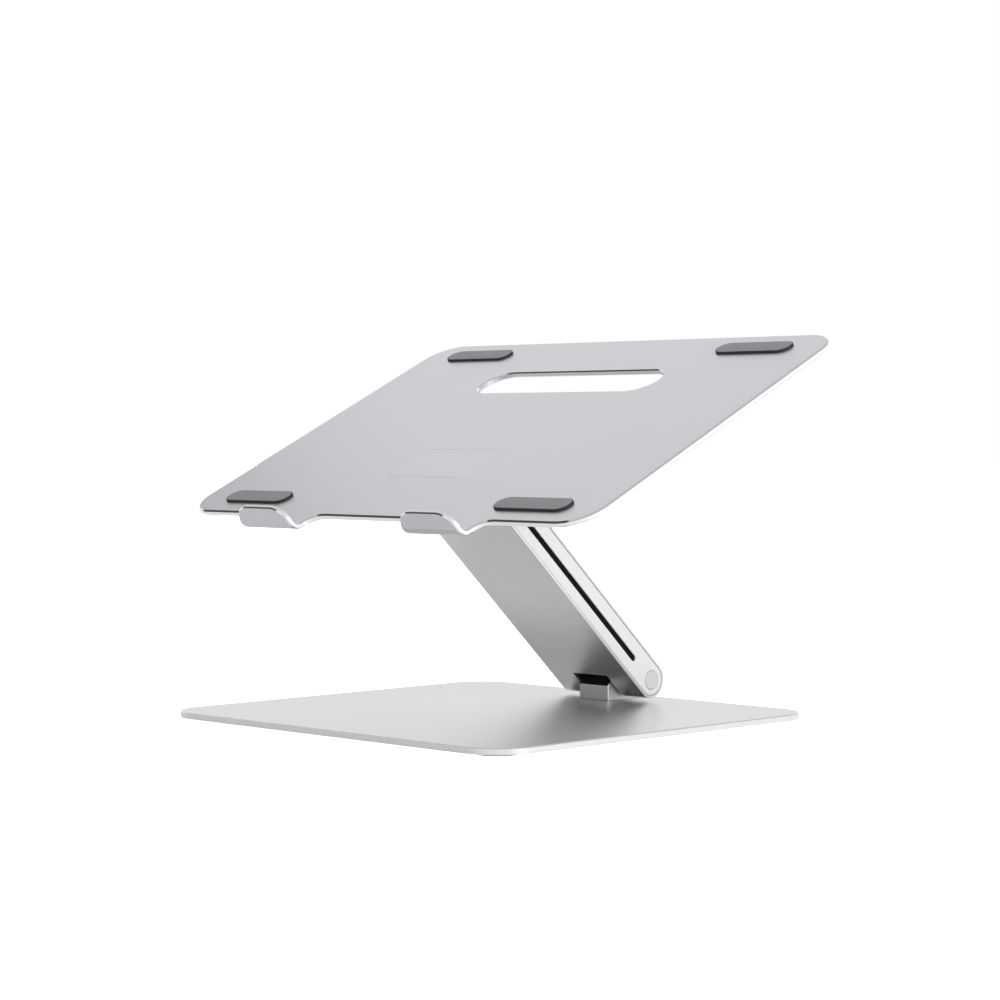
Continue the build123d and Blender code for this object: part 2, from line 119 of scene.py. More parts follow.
# Each light's name, azimuth and elevation in degrees, distance, size and power.
STUDIO_LIGHTS = (
    ("back_softbox", 225.0, 40.0, 1.2, (0.9, 0.7), 1.0),
    ("side_softbox", 100.0, 12.0, 1.0, (0.6, 0.6), 3.0),
)


# ---- sizes and colours -------------------------------------------------------
def length(name, description, millimetres):
    """A size property, held in metres."""
    return FloatProperty(name=name, description=description, default=millimetres * MM, unit="LENGTH",
                         precision=5)


def degrees(name, description, default):
    """An angle property, held in radians."""
    return FloatProperty(name=name, description=description, default=math.radians(default), subtype="ANGLE")


def number(name, description, default):
    """A property that is a plain number."""
    return FloatProperty(name=name, description=description, default=default)


def colour(name, description, default):
    """A colour property."""
    return FloatVectorProperty(name=name, description=description, default=default, size=3,
                               subtype="COLOR", min=0.0, max=1.0)


class StandBaseSizes(bpy.types.PropertyGroup):
    """Sizes of the base plate and its feet."""

    corner: length("Corner radius", "Radius of the base plate's corners in plan", 22.0)
    bevel: length("Edge bevel", "Width of the cut edge round the base plate's top", 0.5)
    under_bevel: length("Under bevel", "Width of the cut edge round the base plate's underside", 0.3)
    foot_radius: length("Foot radius", "Radius of one rubber foot", 10.0)
    foot_gap: length("Foot gap", "Gap between a foot and its recess", 0.2)


class StandArmSizes(bpy.types.PropertyGroup):
    """Sizes of the arm and its covers."""

    wall: length("Shell wall", "Thickness of the arm's aluminium skin", 1.5)
    rim_bevel: length("Rim bevel", "Bevel of the skin's open rims", 0.3)
    notch_corner: length("Notch corner", "Radius of a notch's corners", 0.6)
    notch_half: length("Notch half width", "Half the width of the notch round a hinge block", 12.0)
    notch_reach: length("Notch reach", "How far a notch runs past its pivot", 13.5)
    cover_gap: length("Cover gap", "Gap between the skin and a side cover", 0.2)
    cover_thick: length("Cover thickness", "Thickness of a side cover", 1.1)
    cover_set_back: length("Cover set-back", "How far a cover sits inside the rim", 0.2)
    groove_width: length("Groove width", "Width of the long groove in a cover", 3.2)
    groove_offset: length("Groove offset", "How far the groove lies towards the arm's underside", 0.5)
    groove_start: length("Groove start", "Distance from a pivot to the groove's end", 17.0)
    cap_radius: length("Cap radius", "Radius of the cap over a hinge", 4.8)
    barrel_radius: length("Barrel radius", "Radius of a hinge block's round top", 8.5)
    bore_radius: length("Bore radius", "Radius of a hinge block's bore", 4.05)
    block_corner: length("Block corner", "Radius of a hinge block's small corners", 0.7)
    block_bevel: length("Block bevel", "Bevel round a hinge block's sides", 0.4)
    base_front_shoulder: length("Front shoulder", "Base block's front shoulder, below its pivot", 3.4)
    base_back_shoulder: length("Back shoulder", "Base block's back shoulder, below its pivot", 8.2)
    tray_shoulder: length("Tray shoulder", "Tray block's shoulders, past its pivot", 2.0)


class StandTraySizes(bpy.types.PropertyGroup):
    """Sizes of the tray, its lips and its pads."""

    depth: length("Depth", "Flat depth of the tray, from its front to its rear edge", 206.0)
    thick: length("Thickness", "Thickness of the tray's sheet", 3.0)
    corner: length("Corner radius", "Radius of the tray's corners", 18.0)
    bevel: length("Edge bevel", "Width of the cut edge round the tray's top", 0.8)
    under_bevel: length("Under bevel", "Width of the cut edge round the tray's underside and its slot", 0.6)
    slot_width: length("Slot width", "Width of the long opening", 123.0)
    slot_depth: length("Slot depth", "Depth of the long opening", 25.5)
    slot_middle: length("Slot place", "Distance from the front edge to the opening's middle", 154.2)
    lip_middle: length("Lip place", "Distance from the tray's middle to a lip's middle", 58.5)
    lip_half: length("Lip half width", "Half the width of a lip", 19.0)
    lip_root: length("Lip root radius", "Radius of the inside corners beside a lip", 8.0)
    lip_corner: length("Lip corner radius", "Radius of a lip's top corners", 10.5)
    lip_flat: length("Lip flat", "Distance from the front edge to the start of the bend", 8.7)
    lip_bend: length("Lip bend radius", "Inside radius of the bend", 4.0)
    lip_turn: degrees("Lip turn", "How far a lip is bent up", 82.0)
    lip_rise: length("Lip rise", "Straight length of a lip above its bend", 8.6)
    pad_standout: length("Pad height", "How far a pad stands above the tray", 1.3)
    pad_sunk: length("Pad recess", "Depth of a pad's recess", 0.5)
    pad_gap: length("Pad gap", "Gap between a pad and its recess", 0.1)
    pad_round: length("Pad edge", "Radius of a pad's top edge", 0.5)
    cover_depth: length("Cover plate depth", "Thickness of the flush plate over the hinge screws", 1.0)
    cover_gap: length("Cover plate gap", "Gap round the flush plate", 0.06)
    cover_corner: length("Cover plate corner", "Radius of the flush plate's corners", 1.5)
    lip_pad_start: length("Lip pad start", "Distance from the end of the bend to a lip pad", 0.6)
    lip_pad_rise: length("Lip pad height", "Height of a lip pad", 5.2)
    lip_pad_half: length("Lip pad half width", "Half the width of a lip pad", 11.5)
    lip_pad_thick: length("Lip pad thickness", "Thickness of a lip pad", 0.9)


class StandFinishes(bpy.types.PropertyGroup):
    """Colours of the finishes."""

    tray_metal: colour("Tray aluminium", "Anodised aluminium of the tray", (0.66, 0.655, 0.69))
    base_metal: colour("Base aluminium", "Anodised aluminium of the base", (0.795, 0.795, 0.795))
    arm_metal: colour("Arm aluminium", "Anodised aluminium of the arm", (0.90, 0.90, 0.905))
    cut_metal: colour("Cut edge", "Bright cut edges", (0.90, 0.90, 0.91))
    cover: colour("Side covers", "Satin silver-white covers", (0.86, 0.855, 0.86))
    cap: colour("Pivot caps", "Light grey caps", (0.70, 0.70, 0.69))
    silicone: colour("Silicone", "Grey silicone pads", (0.375, 0.370, 0.395))
    # Much lighter than the tray's top: bright cut sides, lightened further as a painted highlight.
    side_wall: colour("Tray sides", "Bright satin sides of the tray's sheet", (0.97, 0.97, 0.975))


class StandStageSizes(bpy.types.PropertyGroup):
    """Where the camera stands, and the light round the stand."""

    azimuth: degrees("Azimuth", "Camera's angle round the stand", 44.94)
    elevation: degrees("Elevation", "Camera's angle above the horizon", 1.503)
    distance: length("Distance", "From the camera to the point it looks at", 1301.1)
    aim_right: length("Aim right", "Sideways place of the point the camera looks at", 3.7)
    aim_back: length("Aim back", "Depth of the point the camera looks at", 4.2)
    aim_up: length("Aim height", "Height of the point the camera looks at", 110.0)
    lens: number("Lens", "Focal length in millimetres", 93.62)
    horizon_light: number("Horizon light", "Strength of the surroundings at the horizon", 0.95)
    sky_light: number("Sky light", "Strength of the surroundings overhead", 0.55)
    sky_dims_by: number("Sky height", "Sine of the angle where the sky is dimmest", 0.8)
    card_azimuth: degrees("Card azimuth", "Angle round the stand of the dark card", 320.0)
    card_elevation: degrees("Card elevation", "Angle of the dark card above the horizon", 18.0)
    card_half: degrees("Card half width", "Half the angle that the dark card fills", 28.0)
    card_dims: number("Card darkness", "Share of the light that the dark card takes away", 0.9)
    bounce: number("Bounce", "Reflectance of the floor that the stand mirrors", 0.95)
    floor_reach: length("Floor reach", "Half the width of the floor", 8000.0)


# ---- outlines ----------------------------------------------------------------
def outline(corners, pitch=None, arc_step=math.radians(5.0)):
    """Closed outline, anticlockwise, as points and outward normals.

    corners holds (x, y, radius). Each corner is an arc tangent to its two sides: with unit sides d1 and d2
    that turn by t, it starts radius * tan(t / 2) before the corner, and a point on it is the arc's centre
    plus the radius along the outward normal, the side's direction turned clockwise by a quarter turn.
    Straight stretches are divided to the pitch.
    """
    points, normals = [], []
    count = len(corners)
    corner = np.array([c[:2] for c in corners], float)
    radius = np.array([c[2] for c in corners], float)
    side = np.roll(corner, -1, axis=0) - corner
    side /= np.linalg.norm(side, axis=1)[:, None]
    heading = np.arctan2(side[:, 1], side[:, 0])
    turn = (heading - np.roll(heading, 1) + math.pi) % (2 * math.pi) - math.pi
    trim = radius * np.abs(np.tan(turn / 2))
    for i in range(count):
        before, after = side[i - 1], side[i]
        sign = 1.0 if turn[i] > 0 else -1.0
        start = corner[i] - before * trim[i]
        inward = np.array((-before[1], before[0])) * sign
        centre = start + inward * radius[i]
        steps = max(2, int(math.ceil(abs(turn[i]) / arc_step)) + 1)
        angle = heading[i - 1] + np.linspace(0.0, turn[i], steps)
        out = np.stack((np.sin(angle), -np.cos(angle)), axis=1)
        points.append(centre + sign * radius[i] * out)
        normals.append(out)
        if pitch:
            j = (i + 1) % count
            first = corner[i] + after * trim[i]
            last = corner[j] - after * trim[j]
            pieces = round(np.linalg.norm(last - first) / pitch)
            if pieces > 1:
                share = np.linspace(0.0, 1.0, pieces + 1)[1:-1, None]
                points.append(first + (last - first) * share)
                normals.append(np.repeat([[after[1], -after[0]]], pieces - 1, axis=0))
    points, normals = np.concatenate(points), np.concatenate(normals)
    apart = np.linalg.norm(points - np.roll(points, -1, axis=0), axis=1) > SAME_POINT
    return points[apart], normals[apart]


def inner(loop):
    """The same outline run the other way, as the edge of a hole: its normals point into the hole."""
    points, normals = loop
    return points[::-1], -normals[::-1]


def rounded_box(middle, size, radius, pitch=None):
    """Rectangle with four rounded corners."""
    x, y = size[0] / 2, size[1] / 2
    signs = ((-1, -1), (1, -1), (1, 1), (-1, 1))
    return outline([(middle[0] + sx * x, middle[1] + sy * y, radius) for sx, sy in signs], pitch)


def stadium(middle, size, pitch=None):
    """Rectangle with two half-round ends, long along its first axis."""
    return rounded_box(middle, size, size[1] / 2, pitch)


def circle(middle, radius, count=72):
    """Circle: the middle plus the radius along each of count evenly turned normals."""
    angle = np.linspace(0.0, 2 * math.pi, count, endpoint=False)
    out = np.stack((np.cos(angle), np.sin(angle)), axis=1)
    return np.asarray(middle) + radius * out, out


def bevel_profile(thick, top, bottom):
    """Cut edge: (inset, depth) pairs from the top face down to the bottom face, with 45 degree bevels."""
    return np.array(((top, 0.0), (0.0, top), (0.0, thick - bottom), (bottom, thick)))


def round_profile(thick, radius, bottom, steps=5):
    """Moulded edge: a quarter round from the top face, a straight side and a small bevel at the bottom.

    At angle a the quarter round is inset by radius * (1 - sin a) at depth radius * (1 - cos a).
    """
    angle = np.linspace(0.0, math.pi / 2, steps + 1)
    arc = np.stack((radius * (1 - np.sin(angle)), radius * (1 - np.cos(angle))), axis=1)
    return np.concatenate((arc, ((0.0, thick - bottom), (bottom, thick))))


# ---- places ------------------------------------------------------------------
def plane_place(origin, across, along):
    """Map from a flat drawing to the frame: origin + x * across + y * along - depth * their cross product."""
    origin, across, along = (np.asarray(v, float) for v in (origin, across, along))
    normal = np.cross(across, along)

    def place(x, y, depth):
        return origin + x[..., None] * across + y[..., None] * along - depth[..., None] * normal

    return place


def tray_plane(sizes):
    """Middle of the tray's front top edge, worked out from its rear edge, and the direction rearward."""
    rearward = np.cross(TRAY_NORMAL, RIGHT)
    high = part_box("tray_plate")[1]
    rear_top = np.array((0.0, high.y, high.z)) + sizes.thick * np.array((0.0, TRAY_NORMAL[1], 0.0))
    return rear_top - sizes.depth * rearward, rearward


def tray_place(sizes):
    """Map from the tray's flat sheet to the frame, with the lips bent up.

    Forward of lip_flat the sheet turns about a line lip_bend above its top face: after a length s it has
    turned by s / lip_bend, up to lip_turn, and then runs straight.
    """
    origin, rearward = tray_plane(sizes)
    flat, bend, turn = sizes.lip_flat, sizes.lip_bend, sizes.lip_turn

    def place(x, y, depth):
        turned = np.clip((-y - flat) / bend, 0.0, turn)
        rest = np.maximum(-y - flat - bend * turn, 0.0)
        along = np.maximum(y, -flat) - (bend + depth) * np.sin(turned) - rest * np.cos(turned)
        up = bend - (bend + depth) * np.cos(turned) + rest * np.sin(turned)
        return origin + x[..., None] * RIGHT + along[..., None] * rearward + up[..., None] * TRAY_NORMAL

    return place


def arm_axes():
    """Unit vectors up the arm and towards its underside."""
    upward = UPPER_PIVOT - LOWER_PIVOT
    upward = upward / np.linalg.norm(upward)
    return upward, np.cross(RIGHT, upward)


def arm_place(sign, x):
    """Map from a side view of the arm, first axis up the arm, to a plane facing outwards at x."""
    upward, _ = arm_axes()
    origin = LOWER_PIVOT + RIGHT * sign * x
    return plane_place(origin, upward, np.cross(RIGHT * sign, upward))


# ---- meshes ------------------------------------------------------------------
def make_piece(name, verts, faces, marks=None, sharp=math.radians(24.0)):
    """Mesh object from arrays.

    faces is a list of index arrays, one row a face, and marks holds each array's material or materials.
    """
    mesh = bpy.data.meshes.new(name)
    corners = np.concatenate([f.ravel() for f in faces]).astype(np.int32)
    totals = np.concatenate([np.full(len(f), f.shape[1]) for f in faces]).astype(np.int32)
    starts = np.concatenate(((0,), np.cumsum(totals)[:-1])).astype(np.int32)
    mesh.vertices.add(len(verts))
    mesh.vertices.foreach_set("co", np.asarray(verts, np.float32).ravel())
    mesh.loops.add(len(corners))
    mesh.loops.foreach_set("vertex_index", corners)
    mesh.polygons.add(len(totals))
    mesh.polygons.foreach_set("loop_start", starts)
    if marks is not None:
        slots = np.concatenate([np.broadcast_to(m, len(f)) for m, f in zip(marks, faces)])
        mesh.polygons.foreach_set("material_index", slots.astype(np.int32))
    mesh.update(calc_edges=True)
    mesh.validate()
    mesh.shade_smooth()
    mesh.set_sharp_from_angle(angle=sharp)
    piece = bpy.data.objects.new(name, mesh)
    bpy.context.scene.collection.objects.link(piece)
    return piece


def enclosed(loops, spots, batch=500):
    """True for each spot between the loops: a line from it towards +x crosses them an odd number of times."""
    a = np.concatenate(loops)
    b = np.concatenate([np.roll(loop, -1, axis=0) for loop in loops])
    slope = (b[:, 0] - a[:, 0]) / np.where(b[:, 1] == a[:, 1], 1.0, b[:, 1] - a[:, 1])
    found = []
    for some in np.array_split(spots, len(spots) // batch + 1):
        x, y = some[:, :1], some[:, 1:]
        spans = (a[:, 1] > y) != (b[:, 1] > y)
        found.append(np.sum(spans & (x < a[:, 0] + (y - a[:, 1]) * slope), axis=1) % 2 == 1)
    return np.concatenate(found)


def fill(loops, spots):
    """Triangles between closed loops of points, by constrained Delaunay.

    They are given as numbers into all the loops' points and then the spots, which lie between the loops.
    """
    points = np.concatenate(list(loops) + [spots]) / MM
    sizes = [len(loop) for loop in loops]
    numbers = [np.arange(size) + start for size, start in zip(sizes, np.cumsum([0] + sizes))]
    edges = np.concatenate([np.stack((ids, np.roll(ids, -1)), axis=1) for ids in numbers])
    only_inside, touching = 1, 1e-6
    _, _, found, origins, _, _ = delaunay_2d_cdt([Vector(p) for p in points], edges.tolist(), [], only_inside,
                                                 touching)
    if not all(origins):
        raise RuntimeError("two outlines of one face cross each other")
    triangles = np.array([ids[0] for ids in origins])[np.array(found)]
    a, b, c = (points[triangles[:, i]] for i in range(3))
    triangles = triangles[enclosed([loop / MM for loop in loops], (a + b + c) / 3)]
    a, b, c = (points[triangles[:, i]] for i in range(3))
    area = (b[:, 0] - a[:, 0]) * (c[:, 1] - a[:, 1]) - (b[:, 1] - a[:, 1]) * (c[:, 0] - a[:, 0])
    triangles[area < 0] = triangles[area < 0][:, ::-1]
    return triangles


class Sheet:
    """A sheet of metal drawn flat: points hold a place in the drawing and a depth below its top face."""

    def __init__(self):
        self.layers, self.faces, self.marks = [], [], []
        self.total = 0

    def points(self, flat, depth):
        """Adds points at one depth and returns their numbers."""
        self.layers.append(np.column_stack((flat, np.full(len(flat), float(depth)))))
        self.total += len(flat)
        return np.arange(self.total - len(flat), self.total)

    def edge(self, loop, profile, bevels=CUT_EDGE, walls=0):
        """Carries an edge profile round an outline and returns the first and the last ring.

        A point of the edge is the outline's point less the inset along its normal, at the profile's depth.
        bevels and walls are the materials of its sloped and straight stretches; walls may be one a point.
        """
        flat, normals = loop
        rings = np.array([self.points(flat - normals * inset, depth) for inset, depth in profile])
        after = np.roll(rings, -1, axis=1)
        quads = np.stack((rings[:-1], rings[1:], after[1:], after[:-1]), axis=-1).reshape(-1, 4)
        sloped = np.all(np.abs(np.diff(profile, axis=0)) > NO_STEP, axis=1)
        self.faces.append(quads)
        self.marks.append(np.where(sloped[:, None], bevels, np.broadcast_to(walls, len(flat))).ravel())
        return rings[0], rings[-1]

    def cap(self, rings, spots, depth, flip=False, places=None):
        """Fills between rings of points, with more points at the given spots.

        places gives other places to use for a ring's points while it is filled, or None to use their own.
        """
        flat = np.concatenate(self.layers)[:, :2]
        places = [flat[ring] if at is None else at for ring, at in zip(rings, places or [None] * len(rings))]
        extra = self.points(spots, depth)
        found = np.concatenate(list(rings) + [extra])[fill(places, spots)]
        self.faces.append(found[:, ::-1] if flip else found)
        self.marks.append(np.zeros(len(found), int))

    def piece(self, name, place):
        """The finished mesh, each point put where place says."""
        flat = np.concatenate(self.layers)
        return make_piece(name, place(flat[:, 0], flat[:, 1], flat[:, 2]), self.faces, self.marks)


def plate(name, place, outer, profile, holes=(), pockets=(), spots=NO_SPOTS, bevels=CUT_EDGE, walls=0):
    """A plate: its edge profile is carried round its outline and its holes, and its two faces are filled.

    holes is (outline, profile) pairs. pockets is (outline, profile, holes) in the top face: a pocket's
    profile ends on its floor, and its own holes run from there to the bottom face. bevels and walls are as in
    Sheet.edge, walls for the outer outline only.
    """
    sheet = Sheet()
    first, last = sheet.edge(outer, profile, bevels, walls)
    tops, bottoms = [first], [last]
    for loop, edge in holes:
        first, last = sheet.edge(inner(loop), edge, bevels)
        tops.append(first)
        bottoms.append(last)
    for loop, edge, floor_holes in pockets:
        first, last = sheet.edge(inner(loop), edge, bevels)
        tops.append(first)
        floor = [last[::-1]]
        for floor_loop, floor_edge in floor_holes:
            first, last = sheet.edge(inner(floor_loop), floor_edge, bevels)
            floor.append(first)
            bottoms.append(last)
        sheet.cap(floor, NO_SPOTS, edge[-1][1])
    sheet.cap(tops, spots, profile[0][1])
    sheet.cap(bottoms, spots, profile[-1][1], flip=True)
    return sheet.piece(name, place)


def turned(name, centre, axis, profile, count=96):
    """A turned piece: profile is (radius, height) pairs from one pole to the other, both of radius 0.

    At angle a a point is the centre plus height along the axis plus radius * (cos a * u + sin a * v).
    """
    axis = np.asarray(axis, float)
    u = np.cross(axis, RIGHT if abs(axis[0]) < 0.9 else np.array((0.0, 1.0, 0.0)))
    u /= np.linalg.norm(u)
    v = np.cross(axis, u)
    profile = np.array(profile, float)
    angle = np.linspace(0.0, 2 * math.pi, count, endpoint=False)[None, :, None]
    middle = profile[1:-1]
    rim = middle[:, 0, None, None] * (np.cos(angle) * u + np.sin(angle) * v)
    body = np.asarray(centre) + middle[:, 1, None, None] * axis + rim
    poles = np.asarray(centre) + profile[[0, -1], 1][:, None] * axis
    verts = np.concatenate((body.reshape(-1, 3), poles))
    rings = np.arange(len(middle) * count).reshape(len(middle), count)
    after = np.roll(rings, -1, axis=1)
    quads = np.stack((rings[:-1], after[:-1], after[1:], rings[1:]), axis=-1).reshape(-1, 4)
    low = np.stack((after[0], rings[0], np.full(count, rings.size)), axis=1)
    high = np.stack((rings[-1], after[-1], np.full(count, rings.size + 1)), axis=1)
    return make_piece(name, verts, [quads, low, high])


# ---- shapes ------------------------------------------------------------------
def screw_places(middle, size, head=SCREW_HEAD):
    """Middles of four screws whose heads just fit a rectangle."""
    signs = np.array([(sx, sy) for sx in (-1, 1) for sy in (-1, 1)], float)
    return np.asarray(middle) + signs * (np.asarray(size) / 2 - head)


def countersink(thick, start=0.0):
    """Edge profile of a screw hole whose head sits at a depth of start: a 45 degree cone, then straight."""
    cone = SCREW_HEAD - SCREW_HOLE
    return np.array(((cone, start), (0.0, start + cone), (0.0, thick)))


def rounded_rim(radius, height, edge, steps=5):
    """Quarter round of a turned piece, from its side to its face.

    At angle a it is edge * (1 - cos a) inside the radius and edge * (1 - sin a) below the height.
    """
    angle = np.linspace(0.0, math.pi / 2, steps + 1)
    return np.stack((radius - edge * (1 - np.cos(angle)), height - edge * (1 - np.sin(angle))), axis=1)


def foot_profile(radius, height, edge=0.4 * MM, ring=2.4 * MM, groove=0.25 * MM):
    """Half section of a rubber foot: a flat back, a straight side, a rounded edge and a grooved face.

    The groove is a ring in the face, its slopes and its floor all as wide as it is deep.
    """
    face = ((radius - ring, height), (radius - ring - groove, height - groove),
            (radius - ring - 3 * groove, height - groove), (radius - ring - 4 * groove, height),
            (radius / 3, height), (0.0, height))
    return np.concatenate((((0.0, 0.0), (radius, 0.0)), rounded_rim(radius, height, edge), face))


def cap_profile(radius, thick, edge=0.3 * MM, rim=0.5 * MM, dish=0.12 * MM, steps=8):
    """Half section of a pivot cap: a round edge, a flat rim and a shallow dish, deepest at its middle.

    Inside the rim, of radius r, the face is dish * (1 - (distance / r) squared) below it.
    """
    inside = radius - edge - rim
    spread = np.linspace(inside, 0.0, steps)
    hollow = np.stack((spread, -dish * (1 - (spread / inside) ** 2)), axis=1)
    return np.concatenate((((0.0, -thick), (radius, -thick)), rounded_rim(radius, 0.0, edge), hollow))


def block_corners(sizes, front, back, foot, front_shoulder, back_shoulder):
    """Corners of a hinge block about its pivot: a flat foot, two shoulders and tangents to a round barrel.

    The line from a shoulder touches the barrel at the shoulder's angle, turned by arccos(radius / distance).
    The two lines meet on the ray midway between those points, radius / cos(half the angle between) out.
    """
    radius = sizes.barrel_radius

    def touch(x, y, turn):
        return math.atan2(y, x) % (2 * math.pi) + turn * math.acos(radius / math.hypot(x, y))

    first = touch(front, front_shoulder, -1)
    last = touch(back, back_shoulder, 1) % (2 * math.pi)
    middle, half = (first + last) / 2, (first - last) / 2
    reach = radius / math.cos(half)
    small = sizes.block_corner
    return ((front, foot, small), (back, foot, small), (back, back_shoulder, small),
            (reach * math.cos(middle), reach * math.sin(middle), radius), (front, front_shoulder, small))


def hinge_block(name, place, corners, width, sizes):
    """A block as wide as the barrel, bevelled at both sides and bored, its slopes and barrel black, partly a black
    finish and partly painted shade.
    """
    edge = bevel_profile(width, sizes.block_bevel, sizes.block_bevel)
    outer = outline(corners)
    # Partly painted shade: the slopes and barrel that face up into the arm's notch take the black finish.
    black_and_shade = np.where(outer[1][:, 1] > BLACK_AND_SHADE_FROM, SIDE_WALL, 0)
    bore = (circle((0.0, 0.0), sizes.bore_radius), edge)
    return plate(name, place, outer, edge, [bore], walls=black_and_shade)


def arm_radius():
    """Radius of the arm's round ends: how far it reaches below its lower pivot."""
    return LOWER_PIVOT[2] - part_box("arm_shell")[0].z


def arm_skin(sizes):
    """The arm's skin: a flat sheet wrapped round two half circles of the arm's radius, with two notches.

    Along the sheet, the distance u starts midway up the arm's back, runs up it, round the upper end, down the
    underside and round the lower end. The sheet has turned by the length of arc passed over the radius, and a
    point lies the radius less its depth from the middle line, on the side that the sheet then faces.
    """
    upward, under = arm_axes()
    radius = arm_radius()
    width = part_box("arm_shell")[1].x
    run = float(np.linalg.norm(UPPER_PIVOT - LOWER_PIVOT))
    arc = math.pi * radius
    total = 2 * run + 2 * arc
    starts = (run / 2, run / 2 + arc, 3 * run / 2 + arc, 3 * run / 2 + 2 * arc)

    def place(u, x, depth):
        turned_by = (np.clip(u - starts[0], 0.0, arc) + np.clip(u - starts[2], 0.0, arc)) / radius
        upwards = np.minimum(u, run / 2) + np.maximum(u - starts[3], 0.0)
        along = run / 2 + upwards - np.clip(u - starts[1], 0.0, run)
        out = radius - depth
        up = along + out * np.sin(turned_by)
        down = -out * np.cos(turned_by)
        return LOWER_PIVOT + up[:, None] * upward + down[:, None] * under + x[:, None] * RIGHT

    corner = sizes.notch_corner
    reach = arc / 2 + sizes.notch_reach
    middles = (starts[0] + arc / 2, starts[2] + arc / 2)
    straight = reach - corner
    fine = np.linspace(-straight, straight, 2 * NOTCH_STEPS + 1)
    coarse = [np.linspace(0.0, middles[0] - straight, END_RUN_STEPS)[:-1],
              np.linspace(middles[0] + straight, middles[1] - straight, MIDDLE_RUN_STEPS)[1:-1],
              np.linspace(middles[1] + straight, total, END_RUN_STEPS)[1:-1]]
    columns = np.concatenate((coarse[0], middles[0] + fine, coarse[1], middles[1] + fine, coarse[2]))

    sheet = Sheet()
    rim = bevel_profile(sizes.wall, sizes.rim_bevel, sizes.rim_bevel / 2)
    left = np.stack((columns, np.full(len(columns), -width)), axis=1)
    right = np.stack((columns[::-1], np.full(len(columns), width)), axis=1)
    ends = [sheet.edge((left, np.tile((0.0, -1.0), (len(left), 1))), rim),
            sheet.edge((right, np.tile((0.0, 1.0), (len(right), 1))), rim)]
    notch_edge = bevel_profile(sizes.wall, sizes.rim_bevel / 3, sizes.rim_bevel / 3)
    for middle in middles:
        notch = rounded_box((middle, 0.0), (2 * reach, 2 * sizes.notch_half), corner,
                            straight / NOTCH_STEPS)
        ends.append(sheet.edge(inner(notch), notch_edge))
    rows = np.linspace(-width, width, ARM_ROWS)[1:-1]
    spots = np.stack(np.meshgrid(columns[1:], rows), axis=-1).reshape(-1, 2)
    for middle in middles:
        beside = np.abs(spots - (middle, 0.0)) < np.array((reach, sizes.notch_half)) + NOTCH_MARGIN
        spots = spots[~beside.all(axis=1)]
    for layer, depth in enumerate((0.0, sizes.wall)):
        rings = [pair[layer] for pair in ends]
        inset = rim[-layer][0]
        seam = np.concatenate((rings[0], rings[0][:1], rings[1][-1:], rings[1]))
        seam_places = np.stack((np.concatenate((columns, (total, total), columns[::-1])),
                                np.repeat((inset - width, width - inset), len(columns) + 1)), axis=1)
        sheet.cap([seam, *rings[2:]], spots, depth, flip=layer > 0, places=[seam_places, None, None])
    return sheet.piece("arm_skin", place)


def node_extent(node, origin, axis):
    """Least and greatest distance of a CAD node's points along an axis from an origin."""
    mesh = frame["nodes"][node].data
    points = np.empty(3 * len(mesh.vertices), np.float32)
    mesh.vertices.foreach_get("co", points)
    along = (points.reshape(-1, 3) - origin) @ axis
    return float(along.min()), float(along.max())


def tray_rectangle(node, sizes):
    """Middle and size of a CAD node in the tray's drawing."""
    origin, rearward = tray_plane(sizes)
    spans = np.array([node_extent(node, origin, axis) for axis in (RIGHT, rearward)])
    return spans.mean(axis=1), spans[:, 1] - spans[:, 0]


def raised(place, height):
    """The same map, for a piece whose top face stands a height above the drawing."""
    return lambda x, y, depth: place(x, y, depth - height)


